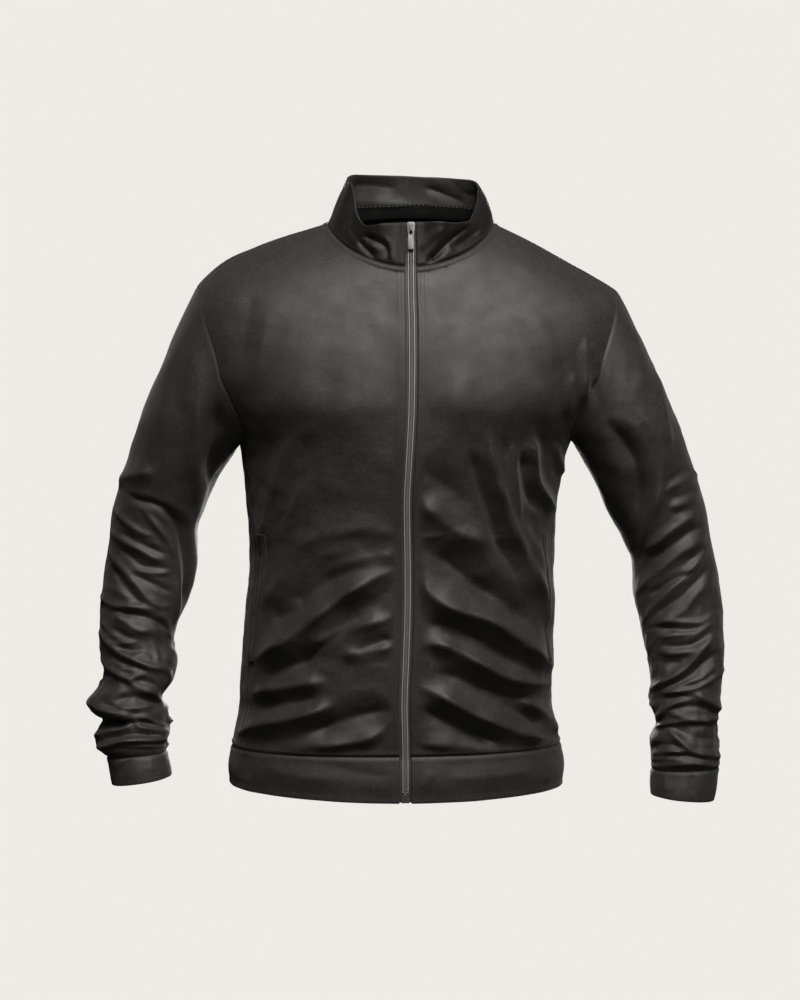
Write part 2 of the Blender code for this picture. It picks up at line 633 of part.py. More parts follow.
def add_panel(panel, look):
    outer, inner = panel.walls()
    names, cuts = STRETCHES.get(panel.name, ((panel.name,), ()))
    ends = (0, *cuts, len(outer) - 1)
    for name, low, high in zip(names, ends[:-1], ends[1:]):
        add_mesh(name, wall_mesh(name, stretch(outer, low, high), stretch(inner, low, high),
                                 panel.tube), look)


# ---------------------------------------------------------------- cloth pieces

def cloth_panels():
    panels = {
        "front_left": Panel("front_left", body_grid("front_left"), CLOTH,
                            ("bottom", "top", "end"), "body"),
        "back": Panel("back", body_grid("back"), CLOTH, ("bottom", "top", "start", "end"),
                      "body"),
        "front_right": Panel("front_right", body_grid("front_right"), CLOTH,
                             ("bottom", "top", "start"), "body")}
    for side, word in ((-1, "right"), (1, "left")):
        panels["sleeve_" + word] = Panel("sleeve_" + word, sleeve_grid(side), CLOTH,
                                         ("bottom", "top"), tube=True, flip=side < 0)
        panels["cuff_" + word] = Panel("cuff_" + word, cuff_grid(side), DOUBLE_CLOTH,
                                       ("bottom",), tube=True, flip=side < 0)
    collar = [[collar_point(a, k / COLLAR_ROWS) for a in all_round(1.0)]
              for k in range(COLLAR_ROWS + 1)]
    panels["collar"] = Panel("collar", collar, DOUBLE_CLOTH, ("bottom",))
    band = [[band_point(a, 1 - k / BAND_ROWS) for a in all_round(0.0)]
            for k in range(BAND_ROWS + 1)]
    panels["hem_band"] = Panel("hem_band", band, DOUBLE_CLOTH, ("top",))
    share_seams(list(panels.values()))
    return panels


def add_welt(side, word):
    """A pocket welt: a folded strip on the front, slanting into the side seam."""
    low, high = WELT_STATIONS
    grid = []
    for r in range(WELT_ROWS + 1):
        s = r / WELT_ROWS
        station = low + (high - low) * s
        reach = 0.75 * BODY.at("half_width", station)    # turns a distance into an angle
        far = seam_angle(station) - (0.003 + WELT_SLANT * s) / reach
        near = far - WELT_WIDTH / reach
        row = [body_point(side * (near + (far - near) * c / WELT_COLUMNS), station)
               for c in range(WELT_COLUMNS + 1)]
        grid.append(row if side > 0 else row[::-1])
    strip = Panel("pocket_welt_" + word, grid, 0.0)
    inner, outer = (strip.outer + strip.way_out * layer for layer in WELT_LAYERS)
    add_mesh(strip.name, wall_mesh(strip.name, outer, inner), "jersey")


def add_neck_tape():
    """Covers the back half of the collar seam inside, on the collar's own inner face."""
    angles = [a for a in all_round(1.0) if math.cos(a) < 0.15]
    grid = [[collar_point(a, rise) for a in angles] for rise in NECK_TAPE_RISE]
    strip = Panel("neck_tape", grid, 0.0)
    outer = strip.outer - strip.way_out * (DOUBLE_CLOTH + NECK_TAPE_GAP)
    inner = outer - strip.way_out * TAPE
    add_mesh("neck_tape", wall_mesh("neck_tape", outer, inner), "zip_tape")


# ---------------------------------------------------------------- zip

def zip_rows(panels):
    """The front edges' rows, from the hem to the collar's top: (edge, next column) a side."""
    order = (("hem_band", "hem_band", slice(0, -1)), ("front_left", "front_right", slice(0, -1)),
             ("collar", "collar", slice(None)))
    sides = {1: ([], []), -1: ([], [])}
    for left, right, rows in order:
        for side, name, columns in ((1, left, (0, 1)), (-1, right, (-1, -2))):
            piece = panels[name]
            for k, column in enumerate(columns):
                sides[side][k].append(np.stack((piece.outer[rows, column],
                                                piece.way_out[rows, column]), axis=1))
    return {side: [np.concatenate(part) for part in parts] for side, parts in sides.items()}


def across_zip(rows, reach, side):
    """Face points and ways out at a distance from the zip's middle, on the cloth's facets."""
    edge, inside = rows[side]
    middle = (rows[1][0] + rows[-1][0]) / 2
    half = ZIP_OPENING / 2
    if reach <= half:
        return middle + (edge - middle) * (reach / half)
    length = np.linalg.norm(inside[:, 0] - edge[:, 0], axis=1)[:, None, None]
    place = edge + (inside - edge) * ((reach - half) / length)
    place[:, 0] -= place[:, 1] * TAPE_LEAN
    return place


def strip_between(name, face, depth, look):
    """A strip through columns of face points, between two depths below the face."""
    places = np.stack([column[:, 0] for column in face], axis=1)
    ways = np.stack([column[:, 1] for column in face], axis=1)
    ways /= np.linalg.norm(ways, axis=2, keepdims=True)
    outer, inner = places - ways * depth[0], places - ways * depth[1]
    return add_mesh(name, wall_mesh(name, outer, inner), look)


def block(shape, low, high, frame):
    """A box between two corners of the slider's own frame (across, up, out)."""
    size = [high[i] - low[i] for i in range(3)]
    centre = [(high[i] + low[i]) / 2 for i in range(3)]
    local = Matrix.Translation(centre) @ Matrix.Diagonal((*size, 1))
    bmesh.ops.create_cube(shape, size=1.0, matrix=frame @ local)


def box_object(name, low, high, frame):
    shape = bmesh.new()
    block(shape, low, high, frame)
    mesh = bpy.data.meshes.new(name)
    shape.to_mesh(mesh)
    shape.free()
    piece = bpy.data.objects.new(name, mesh)
    JACKET.objects.link(piece)
    return piece


def joined(name, boxes, holes, frame, look, bevel):
    """Boxes joined by Boolean unions into one body, with holes cut out of it."""
    piece = box_object(name, *boxes[0], frame)
    for i, (corners, operation) in enumerate(
            [(b, "UNION") for b in boxes[1:]] + [(h, "DIFFERENCE") for h in holes]):
        tool = box_object("{}_cutter_{}".format(name, i), *corners, frame)
        tool.hide_render = True
        tool.display_type = "WIRE"
        JACKET.objects.unlink(tool)
        CUTTERS.objects.link(tool)
        cut = piece.modifiers.new(operation.lower() + str(i), "BOOLEAN")
        cut.operation = operation
        cut.object = tool
    soft = piece.modifiers.new("rounded", "BEVEL")
    soft.width = bevel
    soft.segments = 1
    soft.limit_method = "ANGLE"
    piece.data.materials.append(material(name, look))
    return piece


# The slider's frame: across is +X, up follows the zip, out points away from the cloth
SLIDER_BELOW_TOP = 0.0075    # the slider's middle, under the collar's top edge
SLIDER_HALF = {"length": 0.0082, "width": 0.0049}
BRIDGE = {"low": -0.0040, "high": 0.0028, "thick": 0.0011, "half_width": 0.0010,
          "top": 0.0050}
PLATE = {"back": -0.0001, "front": 0.0011}
PIN_UP, PIN_OUT = -0.0018, 0.0026
TAB = {"half_width": 0.0037, "half_thick": 0.0006, "length": 0.0220, "hole_half": 0.0020,
       "hole_end": 0.0056, "bar": 0.0007}


def slider_frame(middle):
    """Across, up and out at the slider, with its origin on the cloth's face."""
    top, below = Vector(middle[-1, 0]), Vector(middle[-2, 0])
    across = Vector((1, 0, 0))
    up = (top - below).normalized()
    away = across.cross(up)
    frame = Matrix((across, up, away)).transposed().to_4x4()
    return Matrix.Translation(top - up * SLIDER_BELOW_TOP) @ frame


def add_slider(frame):
    width, length = SLIDER_HALF["width"], SLIDER_HALF["length"]
    back, front = PLATE["back"], PLATE["front"]
    tape_back = -(DOUBLE_CLOTH + SEAM_GAP + TAPE)
    arch = BRIDGE["half_width"]
    lip = width - 0.0004
    boxes = [
        ((-width, -length, back), (width, length, front)),
        ((-arch, BRIDGE["low"], front - 0.0003), (arch, BRIDGE["high"], BRIDGE["top"])),
        ((-0.0008, length - 0.0030, tape_back - 0.0006), (0.0008, length - 0.0008, back + 0.0003)),
        ((-width, -length, tape_back - 0.0014), (width, length, tape_back - 0.0004)),
        ((-lip, -length + 0.0005, -0.0021), (-lip + 0.0007, length - 0.0005, back + 0.0003)),
        ((lip - 0.0007, -length + 0.0005, -0.0021), (lip, length - 0.0005, back + 0.0003))]
    holes = [((-arch - 0.001, BRIDGE["low"] + BRIDGE["thick"], front + 0.0002),
              (arch + 0.001, BRIDGE["high"] - BRIDGE["thick"], BRIDGE["top"] - BRIDGE["thick"]))]
    joined("zip_slider", boxes, holes, frame, "zip_metal", 0.00022)


def add_pull(frame):
    """The tab hangs from a bar that passes through the slider's bridge."""
    half, thick, bar = TAB["half_width"], TAB["half_thick"], TAB["bar"]
    boxes = [((-half, PIN_UP - TAB["length"], PIN_OUT - thick),
              (half, PIN_UP + bar, PIN_OUT + thick))]
    holes = [((-TAB["hole_half"], PIN_UP - TAB["hole_end"], PIN_OUT - 0.002),
              (TAB["hole_half"], PIN_UP - bar, PIN_OUT + 0.002))]
    joined("zip_pull", boxes, holes, frame, "zip_metal", 0.00022)


def add_zip(panels):
    rows = zip_rows(panels)
    tape_front = DOUBLE_CLOTH + SEAM_GAP
    for side, word in ((-1, "right"), (1, "left")):
        face = [across_zip(rows, reach, side)
                for reach in (TAPE_PARTING, ZIP_OPENING / 2, TAPE_REACH)]
        strip_between("zip_tape_" + word, face if side > 0 else face[::-1],
                      (tape_front, tape_front + TAPE), "zip_tape")
    middle = (rows[1][0] + rows[-1][0]) / 2
    frame = slider_frame(middle)
    coil = [across_zip(rows, COIL_HALF_WIDTH, side) for side in (-1, 1)]
    top_cut = SLIDER_BELOW_TOP - SLIDER_HALF["length"] + COIL_END_IN_SLIDER
    for column in coil:
        up = column[-1, 0] - column[-2, 0]
        column[-1, 0] -= up / np.linalg.norm(up) * top_cut
        column[0, 0] += (column[1, 0] - column[0, 0]) * BOX_SHARE
    strip_between("zip_coil", coil, (COIL_SUNK, COIL_SUNK + COIL_DEPTH), "zip_coil")
    rise = Vector(middle[1, 0] - middle[0, 0])
    box_up = rise.normalized()
    box_across = Vector(rows[1][0][0, 0] - rows[-1][0][0, 0]).normalized()
    box_frame = Matrix.Translation(Vector(middle[0, 0])) @ Matrix(
        (box_across, box_up, box_across.cross(box_up))).transposed().to_4x4()
    joined("zip_box", [((-BOX_HALF_WIDTH, -0.0005, -COIL_SUNK - COIL_DEPTH),
                        (BOX_HALF_WIDTH, rise.length * BOX_SHARE - SEAM_GAP, 0.0006))],
           [], box_frame, "zip_metal", 0.0003)
    add_slider(frame)
    add_pull(frame)


# ---------------------------------------------------------------- build

for old in list(bpy.data.objects):
    bpy.data.objects.remove(old)
bpy.context.scene.collection.children.link(JACKET)
bpy.context.scene.collection.children.link(CUTTERS)

PANELS = cloth_panels()
for panel_name, cloth in PANELS.items():
    banded = panel_name in ("hem_band", "cuff_right", "cuff_left")
    add_panel(cloth, "band" if banded else "jersey")
add_welt(-1, "right")
add_welt(1, "left")
add_neck_tape()
add_zip(PANELS)
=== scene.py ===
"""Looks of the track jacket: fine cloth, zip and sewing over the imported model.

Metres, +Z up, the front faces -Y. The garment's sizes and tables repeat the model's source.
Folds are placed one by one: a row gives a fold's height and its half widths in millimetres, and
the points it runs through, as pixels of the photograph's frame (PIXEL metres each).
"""
import math

import bmesh
import bpy
import numpy as np
from mathutils import Matrix, Vector


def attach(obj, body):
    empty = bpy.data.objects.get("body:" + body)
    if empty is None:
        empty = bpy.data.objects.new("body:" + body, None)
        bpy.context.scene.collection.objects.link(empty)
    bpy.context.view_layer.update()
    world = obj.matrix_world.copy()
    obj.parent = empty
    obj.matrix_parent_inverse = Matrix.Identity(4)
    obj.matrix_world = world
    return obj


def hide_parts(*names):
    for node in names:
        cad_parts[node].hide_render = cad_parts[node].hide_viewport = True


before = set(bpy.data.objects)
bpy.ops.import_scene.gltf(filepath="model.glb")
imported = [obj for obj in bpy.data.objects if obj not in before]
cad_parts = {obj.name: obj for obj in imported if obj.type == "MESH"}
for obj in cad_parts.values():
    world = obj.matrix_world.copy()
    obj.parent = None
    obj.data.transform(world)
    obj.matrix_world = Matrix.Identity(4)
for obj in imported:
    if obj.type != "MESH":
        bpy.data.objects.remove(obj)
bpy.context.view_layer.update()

# ---------------------------------------------------------------- the garment's sizes
SIDES = ((-1, "right"), (1, "left"))   # the wearer's
PIXEL = 0.00118             # one pixel of the photograph, at the jacket's distance
VIEW = {"target": (-0.0094, 0.0, -0.3304), "distance": 3.2, "elevation": 3.5,
        "half_field": 0.59, "centre": (400, 500)}
CLOTH = 0.0013              # one layer of the knit
DOUBLE_CLOTH = 0.0024       # folded bands, collar and front edge
FACING_END = (0.012, 0.015)   # from the zip: there the doubled front edge thins to one layer
TAPE = 0.0010
SEAM_GAP = 0.0003
HEM_SEAM_Z = -0.618
HEM_Z = -0.664
HEM_DIP = 0.006
HEM_TILT = 0.002
ZIP_OPENING = 0.013
SQUARENESS = 0.035
SLEEVE_SQUARENESS = 0.03
RIM_CURVE = 1.5
BAND_SWELL = 0.0030
BAND_ROUND = (0.85, 1.15)   # share of a half wave over the band, and how soon it is reached
BAND_FLARE = 0.0015
CUFF_SWELL = 0.02
CAP_FULLNESS = (-0.0020, 0.0044)   # how far a sleeve's cap swells, at the underarm and on top
CAP_ARRIVAL = (0.35, 0.65)  # the cap arrives partly along its chord, partly along the sleeve
WELT_STATIONS = (0.168, 0.408)
WELT_WIDTH = 0.011
WELT_SLANT = 0.013
WELT_INSET = 0.003
WELT_REACH = 0.75           # share of the half width that turns a distance into an angle
WELT_LIFT = 0.0016
WELT_THICK = 0.0018
NECK_TAPE_RISE = (-0.10, 0.27)
NECK_TAPE_GAP = 0.0006
NECK_TAPE_END = 0.15        # cosine of the angle where the tape ends, beside the neck
PIT, TIP = 0.576, 0.860     # stations of the armhole's lower and upper ends
ARMHOLE_FRONT = math.radians(24)
ARMHOLE_BACK = math.radians(45)
SLEEVE_END = {-1: 0.92, 1: 0.87}   # station of the cuff's seam on each sleeve

# Long pieces that the model makes of shorter walls, end to end
STRETCHES = {
    "back": ("back_lower", "back_upper"),
    "sleeve_right": ("sleeve_right_cap", "sleeve_right_top", "sleeve_right_elbow",
                     "sleeve_right_forearm"),
    "sleeve_left": ("sleeve_left_top", "sleeve_left_elbow", "sleeve_left_forearm")}

# ---------------------------------------------------------------- looks of seams and folds
SEAM_DIP = 0.0010           # how deep the cloth rolls in at a seam
SEAM_WIDTH = 0.0014
SEAM_SWELL = 0.0004         # the allowance under the cloth lifts it this much beside a seam
SEAM_SWELL_AT = 0.0045
SEAM_SWELL_WIDTH = 0.0022
SIDE_SEAM_DEPTH = 0.45      # side seams and armholes roll in less than the others
# Lifted lines beside a panel's edges: distance from the edge, half width, height
RIDGES = (("top", 0.0042, 0.0024, 0.0010), ("top", 0.0085, 0.0011, -0.0008),
          ("bottom", 0.0040, 0.0020, 0.0005))
ZIP_STIFF = (0.0115, 0.0215)  # beside the zip, the folds grow between these distances
COLLAR_STIFF = (0.0070, 0.0150)
FOLD_REACH = 3.0            # a fold is felt this many half widths away
FOLD_CREST = 0.28           # share of a fold's height that is a narrower crest
CREST_SHARPNESS = 2.5       # how many times narrower that crest is
FOLD_DITCH = 0.10           # shallow troughs along both sides, as a share of its height
DITCH_AT, DITCH_WIDTH = 1.9, 0.6   # in half widths of the fold
FOLD_FADE = 0.24            # share of a fold's length over which each end dies away
FOLD_TAPER = 0.45           # a fold's width at its ends, as a share of its full width
FOLD_UNEVEN = 0.14          # each fold swells and falls along its run, as a share of its height
UNEVEN_RUN, UNEVEN_SHIFT = 8.5, 2.1   # mm along the run, and the next fold's head start
TORSO_DEPTH = 1.15          # what the tables' heights are multiplied by
SLEEVE_DEPTH = 0.95
SLEEVE_LEAN = 0.24          # a fold low on a sleeve sags over the cloth below it
SAG_STATIONS = (0.40, 0.70)
# Where the folds of the front pass into those behind: from 0 to 1 as the surface turns forward
BODY_FACING = (-0.12, 0.20)
COLLAR_FACING = (-0.1, 0.3)
SLEEVE_FACING = (-0.30, 0.30)
EDGE_CALM = 0.12            # share of a fold's height that is left at a sewn edge
HEM_CALM = (0.0, 0.030)     # stations over which the folds grow to their height
CUFF_CALM = (0.0, 0.035)
NECK_CALM = (0.0, 0.05)
CAP_CALM = (0.04, 0.6)
BAND_CALM = (0, 0.2)
COLLAR_CALM = (0, 0.15)
# Slow unevenness of the cloth: height, length of the waves and seed of their draws
WAVES = {"body_slow": (0.00045, 0.085, 5), "body": (0.00022, 0.026, 8),
         "body_fine": (0.00008, 0.011, 9), "collar": (0.0005, 0.040, 21),
         "hem_band": (0.00045, 0.055, 31), "cuff": (0.0004, 0.035, 61),
         "sleeve_slow": (0.0006, 0.060, 40), "sleeve": (0.0003, 0.020, 50)}
WAVE_COUNT = 14
WAVE_SPREAD = (0.6, 1.7)    # the shortest and longest, as shares of their length
ROUGHER_BELOW = (0.45, 0.75)  # stations of the body between which it grows calmer upward
ROUGHER_PAST = (0.3, 0.6)     # stations of a sleeve between which it grows rougher downward
SLEEVE_TOP_WAVES = 0.4        # share of a sleeve's finer waves that is left at its top
SHARP_EDGE = 55             # degrees between two faces from which their edge looks sharp

# ---------------------------------------------------------------- grid counts
FRONT_COLUMNS = 88
BACK_COLUMNS = 126
LOWER_ROWS = 140
ARMHOLE_ROWS = 80
SHOULDER_ROWS = 56
CAP_ROWS = 40
SLEEVE_ROWS = 236
COLLAR_ROWS = 20
CUFF_ROWS = 16
WELT_ROWS, WELT_COLUMNS = 64, 8
NECK_TAPE_ROWS = 7
ZIP_TAPE_COLUMNS = 8
# Rows and columns stand closer together beside a seam
NEAR_SEAM = (0.0, 0.0032, 0.0075)  # the first columns of a panel, as shares of its width
HEM_STATIONS = (0.0, 0.0016, 0.0034, 0.006)
NECK_STATIONS = (0.995, 0.9972, 0.9988, 1.0)
ARMHOLE_EVEN = 0.22         # how evenly the armhole's rows are spread; 0 crowds its ends most
COLLAR_SHARES = (0.0, 0.025, 0.06, 0.10)
CUFF_SHARES = (0.0, 0.03, 0.07, 0.12)
EDGE_FOLD_ANGLES = (30, 60, 90, 120, 150)   # of the rows round a folded edge
# Where the knit is laid out flat: a tube's first column is met again this much further on, and
# the widths of the strips that close a wall below and at its ends
ROUND_AGAIN = 1.005
CLOSING_STRIP, END_STRIP = 0.001, 0.002
# The panels in their order round the body: side edges, and the column of the knit's grain
PANELS = {"front_left": (("end",), 0), "back": (("start", "end"), BACK_COLUMNS // 2),
          "front_right": (("start",), -1)}


def hermite(start, leave, end, arrive, u):
    """The cubic from start to end that leaves and arrives in given directions."""
    return ((1 + 2 * u) * (1 - u) ** 2 * start + u * (1 - u) ** 2 * leave
            + u * u * (3 - 2 * u) * end + u * u * (u - 1) * arrive)


class Table:
    """Rows of numbers under named columns, read smoothly between the rows."""

    def __init__(self, columns, rows):
        data = np.array(rows, dtype=float)
        self.key = data[:, 0]
        self.column = {name: data[:, i] for i, name in enumerate(columns)}

    def at(self, name, key):
        """Monotone cubic through the column's values, for one key or an array of them."""
        x, y = self.key, self.column[name]
        step = np.diff(x)
        rise = np.diff(y) / step
        slope = np.zeros(len(x))
        slope[0], slope[-1] = rise[0], rise[-1]
        same_way = rise[:-1] * rise[1:] > 0
        total = np.where(same_way, rise[:-1] + rise[1:], 1.0)
        slope[1:-1] = np.where(same_way, 2 * rise[:-1] * rise[1:] / total, 0.0)
        i = np.clip(np.searchsorted(x, key) - 1, 0, len(x) - 2)
        u = np.clip((key - x[i]) / step[i], 0.0, 1.0)
        return hermite(y[i], step[i] * slope[i], y[i + 1], step[i] * slope[i + 1], u)


BODY = Table(
    ("station", "middle", "half_width", "front", "back",
     "z_right", "z_left", "z_front", "z_back", "turn"),
    ((0.000, -0.0135, 0.1952, 0.119, 0.113, -0.618, -0.618, -0.618, -0.618, 5.0),
     (0.040, -0.0140, 0.1890, 0.121, 0.112, -0.593, -0.593, -0.593, -0.593, 5.0),
     (0.084, -0.0145, 0.1850, 0.122, 0.110, -0.566, -0.566, -0.566, -0.566, 4.8),
     (0.180, -0.0118, 0.1840, 0.121, 0.104, -0.507, -0.507, -0.507, -0.507, 4.4),
     (0.275, -0.0088, 0.1825, 0.119, 0.098, -0.448, -0.448, -0.448, -0.448, 3.9),
     (0.370, -0.0077, 0.1800, 0.120, 0.096, -0.389, -0.389, -0.389, -0.389, 3.3),
     (0.466, -0.0074, 0.1835, 0.126, 0.104, -0.330, -0.330, -0.330, -0.330, 2.6),
     (0.530, -0.0050, 0.1895, 0.131, 0.112, -0.290, -0.289, -0.291, -0.290, 2.2),
     (0.576, -0.0030, 0.1960, 0.1335, 0.118, -0.262, -0.259, -0.264, -0.262, 2.0),
     (0.620, -0.0020, 0.2130, 0.134, 0.122, -0.236, -0.236, -0.243, -0.234, 2.0),
     (0.665, -0.0010, 0.2380, 0.1335, 0.125, -0.205, -0.207, -0.221, -0.203, 2.0),
     (0.718, -0.0005, 0.2570, 0.1315, 0.126, -0.167, -0.170, -0.195, -0.167, 2.0),
     (0.790, 0.0000, 0.2600, 0.1260, 0.122, -0.119, -0.124, -0.160, -0.121, 2.0),
     (0.830, 0.0000, 0.2555, 0.1210, 0.117, -0.095, -0.101, -0.140, -0.098, 2.0),
     (0.860, 0.0000, 0.2460, 0.1170, 0.112, -0.078, -0.086, -0.126, -0.081, 2.0),
     (0.880, 0.0000, 0.2335, 0.1140, 0.108, -0.065, -0.077, -0.117, -0.069, 2.0),
     (0.905, 0.0002, 0.2120, 0.1100, 0.102, -0.049, -0.064, -0.105, -0.053, 1.8),
     (0.930, 0.0005, 0.1850, 0.1060, 0.095, -0.035, -0.049, -0.093, -0.038, 1.5),
     (0.960, 0.0012, 0.1480, 0.1005, 0.085, -0.021, -0.029, -0.078, -0.019, 1.0),
     (1.000, 0.0030, 0.0965, 0.0920, 0.066, -0.005, -0.005, -0.058, 0.008, 0.0)))
SIDE_SEAM = Table(
    ("station", "angle"),
    ((0.0, 70.0), (0.45, 71.0), (0.576, 78.0), (0.718, 80.0), (0.86, 82.0), (1.0, 81.0)))
SLEEVE_COLUMNS = ("station", "outer_x", "outer_z", "inner_x", "inner_z", "middle_y",
                  "half_depth")
SLEEVES = {
    -1: Table(SLEEVE_COLUMNS, (
        (0.000, -0.3151, -0.2372, -0.2065, -0.2761, 0.000, 0.070),
        (0.070, -0.3252, -0.2702, -0.2255, -0.3069, 0.004, 0.067),
        (0.150, -0.3371, -0.3069, -0.2415, -0.3423, 0.009, 0.063),
        (0.240, -0.3500, -0.3494, -0.2491, -0.3683, 0.012, 0.060),
        (0.310, -0.3549, -0.3821, -0.2488, -0.3963, 0.011, 0.058),
        (0.390, -0.3608, -0.4182, -0.2525, -0.4265, 0.006, 0.056),
        (0.460, -0.3624, -0.4517, -0.2609, -0.4517, -0.002, 0.053),
        (0.530, -0.3628, -0.4815, -0.2731, -0.4792, -0.012, 0.049),
        (0.570, -0.3629, -0.4986, -0.2763, -0.4952, -0.018, 0.045),
        (0.625, -0.3577, -0.5249, -0.2712, -0.5156, -0.025, 0.047),
        (0.670, -0.3589, -0.5407, -0.2744, -0.5385, -0.031, 0.044),
        (0.710, -0.3732, -0.5602, -0.2875, -0.5602, -0.035, 0.046),
        (0.745, -0.3705, -0.5727, -0.2820, -0.5738, -0.039, 0.046),
        (0.780, -0.3585, -0.5833, -0.2818, -0.5851, -0.042, 0.040),
        (0.840, -0.3651, -0.6042, -0.2784, -0.5996, -0.047, 0.045),
        (0.885, -0.3624, -0.6177, -0.2822, -0.6107, -0.050, 0.043),
        (0.920, -0.3517, -0.6256, -0.2815, -0.6198, -0.053, 0.037),
        (1.000, -0.3452, -0.6571, -0.2757, -0.6467, -0.059, 0.036))),
    1: Table(SLEEVE_COLUMNS, (
        (0.000, 0.3092, -0.2218, 0.1971, -0.2667, 0.000, 0.070),
        (0.070, 0.3246, -0.2549, 0.2149, -0.2975, 0.004, 0.067),
        (0.160, 0.3400, -0.2998, 0.2337, -0.3399, 0.009, 0.063),
        (0.250, 0.3541, -0.3494, 0.2550, -0.3777, 0.012, 0.060),
        (0.320, 0.3614, -0.3868, 0.2653, -0.4033, 0.011, 0.057),
        (0.400, 0.3684, -0.4241, 0.2666, -0.4335, 0.006, 0.056),
        (0.480, 0.3713, -0.4612, 0.2726, -0.4705, -0.003, 0.054),
        (0.550, 0.3716, -0.4932, 0.2785, -0.4991, -0.013, 0.050),
        (0.600, 0.3699, -0.5207, 0.2833, -0.5207, -0.020, 0.046),
        (0.650, 0.3681, -0.5435, 0.2851, -0.5435, -0.026, 0.047),
        (0.695, 0.3670, -0.5617, 0.2836, -0.5663, -0.031, 0.045),
        (0.745, 0.3624, -0.5867, 0.2913, -0.5890, -0.037, 0.041),
        (0.790, 0.3631, -0.6094, 0.2833, -0.6070, -0.042, 0.045),
        (0.830, 0.3639, -0.6264, 0.2843, -0.6264, -0.046, 0.044),
        (0.870, 0.3632, -0.6386, 0.2840, -0.6410, -0.049, 0.039),
        (1.000, 0.3570, -0.6760, 0.2829, -0.6690, -0.057, 0.036)))}
# The collar's top edge: a ring, its heights, and the turns (cosine of the angle) between which
# it climbs from the zip; the corner above the shoulder; a sag on each side of the zip
COLLAR_TOP = {"middle": 0.0030, "half_width": 0.0785, "front": 0.0845, "back": 0.056,
              "z_front": -0.008, "z_back": 0.0505, "z_side": 0.0455, "rise_right": 0.0045,
              "climb_right": (0.34, 0.84), "climb_left": (0.02, 0.74),
              "corner": (-0.1, 0.64), "corner_drop": 0.0085,
              "sag_right": 0.0066, "sag_left": 0.0040, "sag_at": 0.54, "sag_width": 0.25}
# How far the collar leans out at its top edge: beside the zip, behind and on the left; and how
# steeply that way out rises
COLLAR_LEAN = {"front": 0.0105, "from_zip": (0.012, 0.034), "curl": 1.6,
               "front_facing": (0.45, 0.85), "back": 0.0070, "back_facing": (0.1, 0.7),
               "left": 0.0032, "upward": 0.25}
COLLAR_BULGE = {"back": 0.0015, "fades": (0.0, 0.5), "left": 0.0030}

